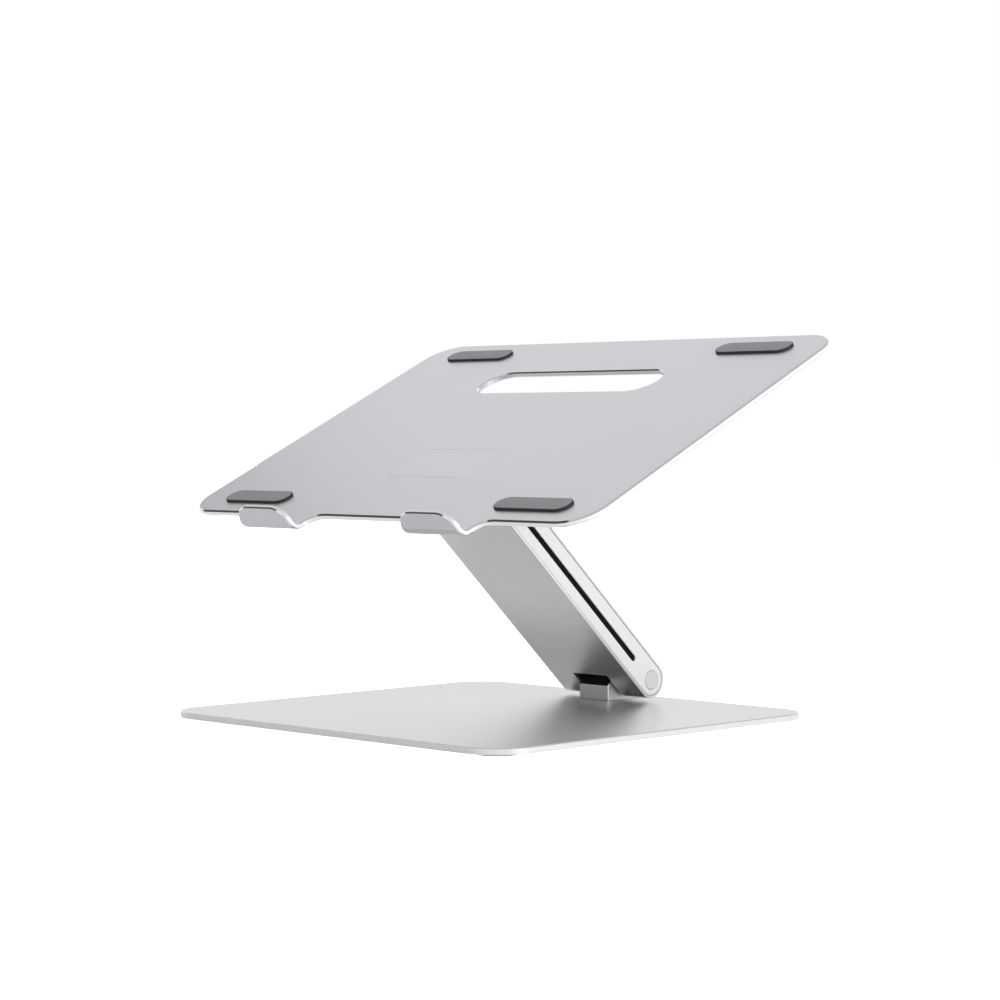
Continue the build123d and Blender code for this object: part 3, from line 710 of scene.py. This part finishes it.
def tray_skin(sizes, place):
    """The tray's sheet: rounded corners, two lips with rounded roots and tips, the slot and the recesses.

    It is drawn flat with its front edge on y = 0 and the lips in front of that, and place bends the lips up.
    """
    half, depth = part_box("tray_plate")[1].x, sizes.depth
    lip_end = sizes.lip_flat + sizes.lip_bend * sizes.lip_turn + sizes.lip_rise
    corners = [(-half, 0.0, sizes.corner)]
    for sign in SIDES.values():
        for edge in (-1, 1):
            x = sign * sizes.lip_middle + edge * sizes.lip_half
            root, tip = (x, 0.0, sizes.lip_root), (x, -lip_end, sizes.lip_corner)
            corners += (root, tip) if edge < 0 else (tip, root)
    corners += [(half, 0.0, sizes.corner), (half, depth, sizes.corner), (-half, depth, sizes.corner)]
    pitch = sizes.lip_bend * sizes.lip_turn / BEND_STEPS
    slot = (stadium((0.0, sizes.slot_middle), (sizes.slot_width, sizes.slot_depth)),
            bevel_profile(sizes.thick, sizes.under_bevel, sizes.under_bevel))

    pockets = []
    for row in ("front", "rear"):
        for side in SIDES:
            middle, size = tray_rectangle(f"tray_pad_{row}_{side}", sizes)
            recess = stadium(middle, size + 2 * sizes.pad_gap)
            pockets.append((recess, ((0.0, 0.0), (0.0, sizes.pad_sunk)), ()))
    middle, size = tray_rectangle("hinge_cover_plate", sizes)
    screws = screw_places(*tray_rectangle("tray_bracket_screws", sizes))
    holes = [(circle(spot, SCREW_HOLE), countersink(sizes.thick, sizes.cover_depth)) for spot in screws]
    recess = rounded_box(middle, size + 2 * sizes.cover_gap, sizes.cover_corner)
    pockets.append((recess, ((0.0, 0.0), (0.0, sizes.cover_depth)), holes))

    rows = -sizes.lip_flat - pitch * np.arange(BEND_STEPS + 1)
    across = np.linspace(-1.0, 1.0, LIP_COLUMNS) * (sizes.lip_half - 2 * sizes.bevel)
    columns = np.concatenate([sign * sizes.lip_middle + across for sign in SIDES.values()])
    spots = np.stack(np.meshgrid(columns, rows), axis=-1).reshape(-1, 2)
    tip_middle = np.abs(np.abs(spots[:, 0]) - sizes.lip_middle) - (sizes.lip_half - sizes.lip_corner)
    tip_height = -spots[:, 1] - (lip_end - sizes.lip_corner)
    beyond = np.hypot(np.maximum(tip_middle, 0.0), np.maximum(tip_height, 0.0))
    spots = spots[beyond < sizes.lip_corner - 2 * sizes.bevel]
    outer = outline(corners, pitch, math.radians(3.0))
    edge = bevel_profile(sizes.thick, sizes.bevel, sizes.under_bevel)
    # The straight sides take the lighter side finish, which is partly a painted highlight.
    return plate("tray_skin", place, outer, edge, [slot], pockets, spots, walls=SIDE_WALL)


def bearing(azimuth, elevation):
    """Direction towards a light or camera at an angle round the stand and above the horizon."""
    flat = math.cos(elevation)
    return Vector((math.sin(azimuth) * flat, -math.cos(azimuth) * flat, math.sin(elevation)))


def aimed(name, data, aim, back, distance):
    """A light or camera that stands back from a point, at a distance, and looks at it."""
    thing = bpy.data.objects.new(name, data)
    thing.location = aim + back * distance
    thing.rotation_mode = "QUATERNION"
    thing.rotation_quaternion = (-back).to_track_quat("-Z", "Y")
    bpy.context.scene.collection.objects.link(thing)
    return thing


def finish_piece(piece, body, slot, materials, *nodes):
    """Gives a piece its body and finishes, and says which CAD nodes it stands for; its slot is not used."""
    for material in materials:
        piece.data.materials.append(finish_material(material))
    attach(piece, body)
    if nodes:
        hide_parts(*nodes)
    return piece


# ---- shader maths --------------------------------------------------------------
class Wire:
    """A socket's value in an expression: +, -, * and / add Math nodes."""

    def __init__(self, tree, socket):
        self.tree = tree
        self.socket = socket

    def math(self, operation, a, b):
        """Adds a Math node; a and b are wires or numbers."""
        return self.tree.node("ShaderNodeMath", {"operation": operation}, {0: a, 1: b})

    def __add__(self, other):
        return self.math("ADD", self, other)

    def __radd__(self, other):
        return self.math("ADD", other, self)

    def __sub__(self, other):
        return self.math("SUBTRACT", self, other)

    def __rsub__(self, other):
        return self.math("SUBTRACT", other, self)

    def __mul__(self, other):
        return self.math("MULTIPLY", self, other)

    def __rmul__(self, other):
        return self.math("MULTIPLY", other, self)

    def __truediv__(self, other):
        return self.math("DIVIDE", self, other)

    def __rtruediv__(self, other):
        return self.math("DIVIDE", other, self)


class Tree:
    """The nodes of a material or a world, with one way to add any node."""

    def __init__(self, owner):
        owner.use_nodes = True
        self.owner = owner
        self.nodes, self.links = owner.node_tree.nodes, owner.node_tree.links
        self.shader = self.nodes.get("Principled BSDF")

    def put(self, socket, value):
        """Links a wire to a socket, or sets the socket to a plain value."""
        if isinstance(value, Wire):
            self.links.new(value.socket, socket)
        else:
            socket.default_value = value

    def node(self, kind, settings=None, inputs=None, output=0):
        """Adds a node, sets its settings and then its sockets, and returns one of its outputs."""
        added = self.nodes.new(kind)
        for key, value in (settings or {}).items():
            setattr(added, key, value)
        for key, value in (inputs or {}).items():
            self.put(added.inputs[key], value)
        return Wire(self, added.outputs[output])

    def place(self, stretch):
        """Object coordinates, stretched."""
        spot = self.node("ShaderNodeTexCoord", output="Object")
        return self.node("ShaderNodeMapping", {}, {"Vector": spot, "Scale": stretch})

    def noise(self, scale, detail=2.0, roughness=0.5, stretch=(1.0, 1.0, 1.0)):
        """Noise from 0 to 1 at a scale in cells per metre."""
        inputs = {"Vector": self.place(stretch), "Scale": scale, "Detail": detail, "Roughness": roughness}
        return self.node("ShaderNodeTexNoise", {}, inputs)

    def along(self, vector, axis):
        """How far a vector reaches along an axis."""
        inputs = {0: vector, 1: Vector(axis)}
        return self.node("ShaderNodeVectorMath", {"operation": "DOT_PRODUCT"}, inputs, output="Value")

    def mix(self, factor, a, b):
        """Colour a, turning into colour b as the factor goes from 0 to 1."""
        inputs = {0: factor, 6: (*a, 1.0), 7: (*b, 1.0)}
        return self.node("ShaderNodeMix", {"data_type": "RGBA"}, inputs, output=2)

    def steps(self, value, low, high):
        """A smooth mask: 0 below low, 1 above high."""
        inputs = {"Value": value, "From Min": low, "From Max": high}
        return self.node("ShaderNodeMapRange", {"interpolation_type": "SMOOTHSTEP"}, inputs)

    def bump(self, height, strength, distance):
        """Bumps the surface by a height."""
        inputs = {"Strength": strength, "Distance": distance, "Height": height}
        self.put(self.shader.inputs["Normal"], self.node("ShaderNodeBump", {}, inputs))

    def surface(self, **values):
        """Sets the shader's sockets by name, with _ for a space."""
        for key, value in values.items():
            self.put(self.shader.inputs[key.replace("_", " ")], value)
        return self.owner


def shade(rgb, factor):
    """A colour made lighter or darker."""
    return tuple(min(1.0, c * factor) for c in rgb)


def painted_hinge_shade(tree):
    """Mask of painted shade: 1 on the arm's underside beside its lower hinge, 0 on its other faces and further up
    the arm.
    """
    spot = tree.node("ShaderNodeTexCoord", output="Object")
    along, below = (tree.along(spot, axis) - float(LOWER_PIVOT @ axis) for axis in arm_axes())
    underside = tree.steps(below, 0.5 * arm_radius(), arm_radius())
    return tree.steps(SHADE_REACH - along, 0.0, SHADE_FADE) * underside


def anodised(name, rgb, rough, metallic=0.72, painted_shade_mask=None):
    """Sand-blasted, anodised aluminium: fine blast grain, faint cloudy tone and faint handling marks.

    Its last argument adds to its nodes a mask of painted shade, where the metal's colour is darkened.
    """
    tree = Tree(bpy.data.materials.new(name))
    cloud = tree.noise(14.0, 3.0)
    grain = tree.noise(2600.0, 2.0)
    marks = tree.noise(46.0, 4.0, 0.55)
    tone = cloud * 0.6 + grain * 0.4
    tree.bump(grain, 0.22, 0.00005)
    low, high = shade(rgb, 0.97), shade(rgb, 1.03)
    # Painted shade: where the mask is 1 the colour darkens to the shade tone, standing in for shade beside the
    # hinge.
    if painted_shade_mask:
        tone = (1.0 - painted_shade_mask(tree)) * SHADE_SHARE + tone * (1.0 - SHADE_SHARE)
        low = shade(rgb, SHADE_TONE)
    return tree.surface(Base_Color=tree.mix(tone, low, high),
                        Metallic=metallic, Roughness=rough + grain * 0.06 - marks * 0.02)


def cut_metal(name, rgb):
    """Bright edge left by a diamond cutter, with faint tool chatter."""
    tree = Tree(bpy.data.materials.new(name))
    chatter = tree.noise(900.0)
    tone = tree.noise(60.0, 3.0)
    tree.bump(chatter, 0.05, 0.00003)
    return tree.surface(Base_Color=tree.mix(tone, shade(rgb, 0.95), rgb), Metallic=1.0,
                        Roughness=0.08 + chatter * 0.08)


def satin_plastic(name, rgb, rough=0.42):
    """Fine moulded plastic with a silver-white coat: tiny flakes and a light orange peel."""
    tree = Tree(bpy.data.materials.new(name))
    flakes = tree.noise(3800.0, 1.0)
    peel = tree.noise(420.0, 2.0)
    tree.bump(peel, 0.10, 0.00006)
    return tree.surface(Base_Color=tree.mix(flakes, shade(rgb, 0.97), shade(rgb, 1.03)),
                        Roughness=rough + peel * 0.08, Metallic=0.15)


def silicone(name, rgb):
    """Matt silicone: fine erosion texture, cloudy tone and a little dust."""
    tree = Tree(bpy.data.materials.new(name))
    skin = tree.noise(1500.0, 3.0, 0.6)
    cloud = tree.noise(70.0, 4.0)
    dust = tree.steps(tree.noise(2300.0, 1.0), 0.70, 0.78)
    tone = cloud * 0.7 + dust * 0.5
    tree.bump(skin, 0.30, 0.00008)
    return tree.surface(Base_Color=tree.mix(tone, shade(rgb, 0.93), shade(rgb, 1.10)),
                        Roughness=0.62 + skin * 0.14)


def black_coat(name, rgb, rough=0.5, sheen=0.3):
    """Black coating: pebbled skin and slightly greyer high spots, with little sheen."""
    tree = Tree(bpy.data.materials.new(name))
    pebble = tree.noise(700.0, 3.0)
    high = tree.steps(pebble, 0.45, 0.75)
    tree.bump(pebble, 0.35, 0.00012)
    return tree.surface(Base_Color=tree.mix(high, rgb, shade(rgb, 1.8)), Roughness=rough + pebble * 0.15,
                        Specular_IOR_Level=sheen)


def turned_metal(name, rgb, rough=0.30):
    """Turned or plated steel and bronze: lines round the hinge line and dull spots."""
    tree = Tree(bpy.data.materials.new(name))
    lines = tree.noise(60.0, 2.0, 0.5, (90.0, 1.0, 1.0))
    spots = tree.steps(tree.noise(320.0, 4.0), 0.5, 0.8)
    tree.bump(lines, 0.12, 0.00004)
    return tree.surface(Base_Color=tree.mix(spots, rgb, shade(rgb, 0.78)), Metallic=1.0,
                        Roughness=rough + lines * 0.12 + spots * 0.15)


def painted(name, rgb, glow):
    """Matt paint with a faint cloudy tone, and a glow that keeps it white if it has one."""
    tree = Tree(bpy.data.materials.new(name))
    return tree.surface(Base_Color=tree.mix(tree.noise(3.0), shade(rgb, 0.99), rgb), Roughness=0.9,
                        Emission_Color=(1.0, 1.0, 1.0, 1.0), Emission_Strength=glow)


def finish_material(kind):
    """The finish of that name, made once."""
    if kind in bpy.data.materials:
        return bpy.data.materials[kind]
    colours = bpy.context.scene.stand_finishes
    bounce = bpy.context.scene.stand_stage.bounce
    makers = {
        "tray_aluminium": lambda: anodised(kind, colours.tray_metal, 0.36),
        "cover_aluminium": lambda: anodised(kind, shade(colours.tray_metal, 1.02), 0.36),
        "base_aluminium": lambda: anodised(kind, colours.base_metal, 0.28, 0.95),
        # The arm's aluminium carries painted shade on its underside beside the lower hinge.
        "arm_aluminium_painted_shade": lambda: anodised(kind, colours.arm_metal, 0.26, 0.95, painted_hinge_shade),
        "block_aluminium": lambda: anodised(kind, shade(colours.arm_metal, 0.92), 0.40),
        "cut_aluminium": lambda: cut_metal(kind, colours.cut_metal),
        "cover_satin": lambda: satin_plastic(kind, colours.cover),
        "cap_satin": lambda: satin_plastic(kind, colours.cap, 0.46),
        "pad_silicone": lambda: silicone(kind, colours.silicone),
        "foot_rubber": lambda: silicone(kind, (0.62, 0.62, 0.63)),
        "strip_black": lambda: black_coat(kind, (0.004, 0.004, 0.004), 0.6, 0.08),
        # The hinge blocks' black: partly a black finish, partly painted shade from the arm's notch.
        "block_black_and_shade": lambda: black_coat(kind, (0.008, 0.008, 0.009), 0.5, 0.15),
        # The tray's sides: a lighter copy of its aluminium, partly bright cut metal and partly a painted
        # highlight.
        "side_aluminium": lambda: anodised(kind, colours.side_wall, 0.34, 0.6),
        # The base's sides: a lighter copy of its aluminium, partly bright cut metal and partly a painted
        # highlight.
        "base_side_aluminium": lambda: anodised(kind, shade(colours.side_wall, 0.88), 0.36, 0.7),
        # The pads' sides are near-black: painted shade under their raised edge.
        "pad_side_painted_shade": lambda: silicone(kind, (0.035, 0.035, 0.037)),
        "frame_black": lambda: black_coat(kind, (0.018, 0.018, 0.019)),
        "plated_steel": lambda: turned_metal(kind, (0.62, 0.62, 0.61)),
        "dull_bronze": lambda: turned_metal(kind, (0.55, 0.40, 0.21), 0.36),
        "floor_paint": lambda: painted(kind, (0.93, 0.93, 0.93), 1.0),
        "bounce_paint": lambda: painted(kind, (bounce, bounce, bounce), 0.18),
    }
    return makers[kind]()


def studio_world(sizes):
    """White to the camera; as light and in reflections, a sky that dims upwards, with one dark card."""
    world = bpy.data.worlds.new("studio")
    tree = Tree(world)
    background = tree.nodes["Background"]
    direction = tree.node("ShaderNodeTexCoord")
    height = tree.node("ShaderNodeSeparateXYZ", {}, {0: direction}, output="Z")
    dimmed = tree.steps(height, 0.0, sizes.sky_dims_by) * (sizes.horizon_light - sizes.sky_light)
    closeness = tree.along(direction, bearing(sizes.card_azimuth, sizes.card_elevation))
    card = tree.steps(closeness, math.cos(CARD_SOFTNESS * sizes.card_half), math.cos(sizes.card_half))
    sky = (sizes.horizon_light - dimmed) * (1.0 - card * sizes.card_dims)
    seen = tree.node("ShaderNodeLightPath", output="Is Camera Ray")
    tree.put(background.inputs["Strength"], sky + seen * (1.0 - sky))
    background.inputs["Color"].default_value = (1.0, 1.0, 1.0, 1.0)
    return world


# ---- operators -----------------------------------------------------------------
class STAND_OT_base(bpy.types.Operator):
    """Build the base plate with its cut edge, and the four rubber feet"""

    bl_idname = "stand.base"
    bl_label = "Base"

    def execute(self, context):
        sizes = context.scene.stand_base
        low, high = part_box("base_plate")
        thick = high.z - low.z
        # Drawn from below, so that the recesses for the feet are in its top face.
        place = plane_place((0.0, 0.0, low.z), RIGHT, (0.0, -1.0, 0.0))
        feet = [f"foot_{row}_{side}" for row in ("front", "rear") for side in SIDES]
        recess_radius = sizes.foot_radius + sizes.foot_gap
        pockets = []
        for foot in feet:
            foot_low, foot_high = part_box(foot)
            middle = (foot_low + foot_high) / 2
            recess = ((0.0, 0.0), (0.0, foot_high.z - low.z))
            pockets.append((circle((middle.x, -middle.y), recess_radius), recess, ()))
        screws_low, screws_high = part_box("base_bracket_screws")
        middle, size = (screws_low + screws_high) / 2, screws_high - screws_low
        screws = screw_places((middle.x, -middle.y), (size.x, size.y))
        holes = [(circle(spot, SCREW_HOLE), countersink(thick)) for spot in screws]
        outer = rounded_box((0.0, 0.0), (high.x - low.x, high.y - low.y), sizes.corner)
        edge = bevel_profile(thick, sizes.under_bevel, sizes.bevel)
        # The straight sides take the lighter side finish, which is partly a painted highlight.
        skin = plate("base_skin", place, outer, edge, holes, pockets, walls=SIDE_WALL)
        finish_piece(skin, "base", "anodised_aluminium",
                     ("base_aluminium", "cut_aluminium", "base_side_aluminium"), "base_plate")

        for foot in feet:
            foot_low, foot_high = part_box(foot)
            centre = ((foot_low.x + foot_high.x) / 2, (foot_low.y + foot_high.y) / 2, foot_high.z)
            profile = foot_profile(sizes.foot_radius, foot_high.z - foot_low.z)
            finish_piece(turned(f"{foot}_pad", centre, (0.0, 0.0, -1.0), profile), "base", "rubber_feet",
                         ("foot_rubber",), foot)
        return {"FINISHED"}


class STAND_OT_blocks(bpy.types.Operator):
    """Build the two hinge blocks with their rounded barrels"""

    bl_idname = "stand.blocks"
    bl_label = "Hinge blocks"

    def execute(self, context):
        sizes = context.scene.stand_arm
        low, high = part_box("base_bracket")
        place = plane_place(LOWER_PIVOT + RIGHT * high.x, (0.0, 1.0, 0.0), (0.0, 0.0, 1.0))
        corners = block_corners(sizes, low.y - LOWER_PIVOT[1], high.y - LOWER_PIVOT[1],
                                low.z - LOWER_PIVOT[2], -sizes.base_front_shoulder, -sizes.base_back_shoulder)
        block = hinge_block("base_block", place, corners, high.x - low.x, sizes)
        finishes = ("block_aluminium", "cut_aluminium", "block_black_and_shade")
        finish_piece(block, "base", "grey_brackets", finishes, "base_bracket")

        tray = context.scene.stand_tray
        origin, rearward = tray_plane(tray)
        drop = float((UPPER_PIVOT - origin) @ TRAY_NORMAL) + tray.thick
        place = plane_place(UPPER_PIVOT + RIGHT * high.x, -rearward, -TRAY_NORMAL)
        front, back = node_extent("tray_bracket", UPPER_PIVOT, -rearward)
        corners = block_corners(sizes, front, back, drop, -sizes.tray_shoulder, -sizes.tray_shoulder)
        block = hinge_block("tray_block", place, corners, high.x - low.x, sizes)
        finish_piece(block, "tray", "grey_brackets", finishes, "tray_bracket")
        return {"FINISHED"}


class STAND_OT_arm(bpy.types.Operator):
    """Build the arm's notched skin, its side covers, groove strips and pivot caps"""

    bl_idname = "stand.arm"
    bl_label = "Arm"

    def execute(self, context):
        sizes = context.scene.stand_arm
        # The arm's skin takes the aluminium with painted shade beside its lower hinge.
        finish_piece(arm_skin(sizes), "arm", "anodised_aluminium", ("arm_aluminium_painted_shade", "cut_aluminium"),
                     "arm_shell")
        run = float(np.linalg.norm(UPPER_PIVOT - LOWER_PIVOT))
        outer_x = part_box("arm_shell")[1].x - sizes.cover_set_back
        half = arm_radius() - sizes.wall - sizes.cover_gap
        for side, sign in SIDES.items():
            across = sign * sizes.groove_offset
            groove_middle = (run / 2, across)
            groove = (run - 2 * sizes.groove_start, sizes.groove_width)
            step = bevel_profile(sizes.cover_thick, STEP_BEVEL, 0.0)
            holes = [(stadium(groove_middle, groove), step)]
            cap_hole = sizes.cap_radius + sizes.cover_gap
            holes += [(circle((along, 0.0), cap_hole), step) for along in (0.0, run)]
            cover = plate(f"side_cover_{side}_skin", arm_place(sign, outer_x),
                          stadium((run / 2, 0.0), (run + 2 * half, 2 * half)),
                          round_profile(sizes.cover_thick, COVER_ROUND, 0.0, 3), holes, bevels=0)
            finish_piece(cover, "arm", "silver_covers", ("cover_satin",), f"side_cover_{side}")

            strip_size = (groove[0] - sizes.cover_gap / 2, groove[1] - sizes.cover_gap / 2)
            strip = plate(f"groove_strip_{side}_skin", arm_place(sign, outer_x - sizes.cover_thick / 2),
                          stadium(groove_middle, strip_size),
                          bevel_profile(sizes.cover_thick / 2, STRIP_BEVEL, 0.0), bevels=0)
            finish_piece(strip, "arm", "black_strip", ("strip_black",), f"groove_strip_{side}")

            for hinge, pivot in (("lower", LOWER_PIVOT), ("upper", UPPER_PIVOT)):
                node = f"pivot_cap_{hinge}_{side}"
                low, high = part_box(node)
                face = high.x if sign > 0 else -low.x
                profile = cap_profile(sizes.cap_radius, high.x - low.x)
                cap = turned(f"{node}_skin", pivot + RIGHT * sign * face, RIGHT * sign, profile)
                finish_piece(cap, "arm", "silver_caps", ("cap_satin",), node)
        return {"FINISHED"}


class STAND_OT_tray(bpy.types.Operator):
    """Build the tray's sheet with its slot and bent lips, the flush cover plate and the pads"""

    bl_idname = "stand.tray"
    bl_label = "Tray"

    def execute(self, context):
        sizes = context.scene.stand_tray
        place = tray_place(sizes)
        finish_piece(tray_skin(sizes, place), "tray", "anodised_aluminium",
                     ("tray_aluminium", "cut_aluminium", "side_aluminium"), "tray_plate")

        middle, size = tray_rectangle("hinge_cover_plate", sizes)
        outer = rounded_box(middle, size, sizes.cover_corner - sizes.cover_gap)
        cover = plate("hinge_cover_skin", place, outer,
                      bevel_profile(sizes.cover_depth, FLUSH_BEVEL, BACK_BEVEL))
        finish_piece(cover, "tray", "anodised_aluminium", ("cover_aluminium", "cut_aluminium"),
                     "hinge_cover_plate")

        for row in ("front", "rear"):
            for side in SIDES:
                node = f"tray_pad_{row}_{side}"
                outer = stadium(*tray_rectangle(node, sizes), PAD_PITCH)
                edge = round_profile(sizes.pad_sunk + sizes.pad_standout, sizes.pad_round, BACK_BEVEL)
                # The pads' edges take the near-black second finish, painted shade.
                pad = plate(f"{node}_skin", raised(place, sizes.pad_standout), outer, edge, walls=CUT_EDGE)
                finish_piece(pad, "tray", "silicone_pads", ("pad_silicone", "pad_side_painted_shade"), node)

        start = sizes.lip_flat + sizes.lip_bend * sizes.lip_turn + sizes.lip_pad_start
        for side, sign in SIDES.items():
            middle = (sign * sizes.lip_middle, -start - sizes.lip_pad_rise / 2)
            size = (2 * sizes.lip_pad_half, sizes.lip_pad_rise)
            outer = rounded_box(middle, size, LIP_PAD_CORNER, LIP_PAD_PITCH)
            pad = plate(f"lip_pad_{side}_skin", raised(place, sizes.lip_pad_thick), outer,
                        round_profile(sizes.lip_pad_thick, LIP_PAD_ROUND, 0.0), bevels=0)
            finish_piece(pad, "tray", "silicone_pads", ("pad_silicone",), f"lip_pad_{side}")
        return {"FINISHED"}


class STAND_OT_hardware(bpy.types.Operator):
    """Finish the arm's inner frame, the shafts, washers, springs, nuts and screws"""

    bl_idname = "stand.hardware"
    bl_label = "Hardware"

    def execute(self, context):
        finishes = {"arm_frame": "frame_black", "base_bracket_screws": "plated_steel",
                    "tray_bracket_screws": "plated_steel"}
        for hinge in ("lower", "upper"):
            finishes[f"{hinge}_shaft"] = "plated_steel"
            finishes[f"{hinge}_disc_springs"] = "plated_steel"
            finishes[f"{hinge}_lock_nuts"] = "plated_steel"
            finishes[f"{hinge}_friction_washers"] = "dull_bronze"
        for node, finish in finishes.items():
            mesh = frame["nodes"][node].data
            mesh.materials.clear()
            mesh.materials.append(finish_material(finish))
        return {"FINISHED"}


class STAND_OT_stage(bpy.types.Operator):
    """Build the floor, the soft lights and the camera"""

    bl_idname = "stand.stage"
    bl_label = "Stage"

    def execute(self, context):
        sizes = context.scene.stand_stage
        scene = context.scene
        scene.view_settings.view_transform = "Standard"

        corners = np.array(((-1, -1, 0), (1, -1, 0), (1, 1, 0), (-1, 1, 0))) * sizes.floor_reach
        for name, paint, seen in (("floor", "floor_paint", True), ("bounce_floor", "bounce_paint", False)):
            floor = make_piece(name, corners, [np.array([[0, 1, 2, 3]])])
            floor.data.materials.append(finish_material(paint))
            floor.visible_camera = seen
            floor.visible_diffuse = floor.visible_glossy = floor.visible_shadow = not seen

        scene.world = studio_world(sizes)

        aim = Vector((sizes.aim_right, sizes.aim_back, sizes.aim_up))
        for name, azimuth, elevation, distance, size, power in STUDIO_LIGHTS:
            light = bpy.data.lights.new(name, "AREA")
            light.shape = "RECTANGLE"
            light.size, light.size_y = size
            light.energy = power
            aimed(name, light, aim, bearing(math.radians(azimuth), math.radians(elevation)), distance)

        lens = bpy.data.cameras.new("camera")
        lens.lens = sizes.lens
        lens.clip_start, lens.clip_end = CAMERA_NEAR, CAMERA_FAR
        scene.camera = aimed("camera", lens, aim, bearing(sizes.azimuth, sizes.elevation), sizes.distance)
        return {"FINISHED"}


class STAND_PT_build(bpy.types.Panel):
    """The steps that build the laptop stand's looks"""

    bl_idname = "STAND_PT_build"
    bl_label = "Laptop Stand"
    bl_space_type = "VIEW_3D"
    bl_region_type = "UI"
    bl_category = "Laptop Stand"

    def draw(self, context):
        for operator in OPERATORS:
            self.layout.operator(operator.bl_idname)


SETTINGS = {"stand_base": StandBaseSizes, "stand_arm": StandArmSizes, "stand_tray": StandTraySizes,
            "stand_finishes": StandFinishes, "stand_stage": StandStageSizes}
OPERATORS = (STAND_OT_base, STAND_OT_blocks, STAND_OT_arm, STAND_OT_tray, STAND_OT_hardware, STAND_OT_stage)
CLASSES = (*SETTINGS.values(), *OPERATORS, STAND_PT_build)


def register():
    for cls in CLASSES:
        bpy.utils.register_class(cls)
    for name, group in SETTINGS.items():
        setattr(bpy.types.Scene, name, PointerProperty(type=group))


def unregister():
    for name in SETTINGS:
        delattr(bpy.types.Scene, name)
    for cls in reversed(CLASSES):
        bpy.utils.unregister_class(cls)


def main():
    register()
    bpy.ops.stand.base()
    bpy.ops.stand.blocks()
    bpy.ops.stand.arm()
    bpy.ops.stand.tray()
    bpy.ops.stand.hardware()
    bpy.ops.stand.stage()


if __name__ == "__main__":
    main()
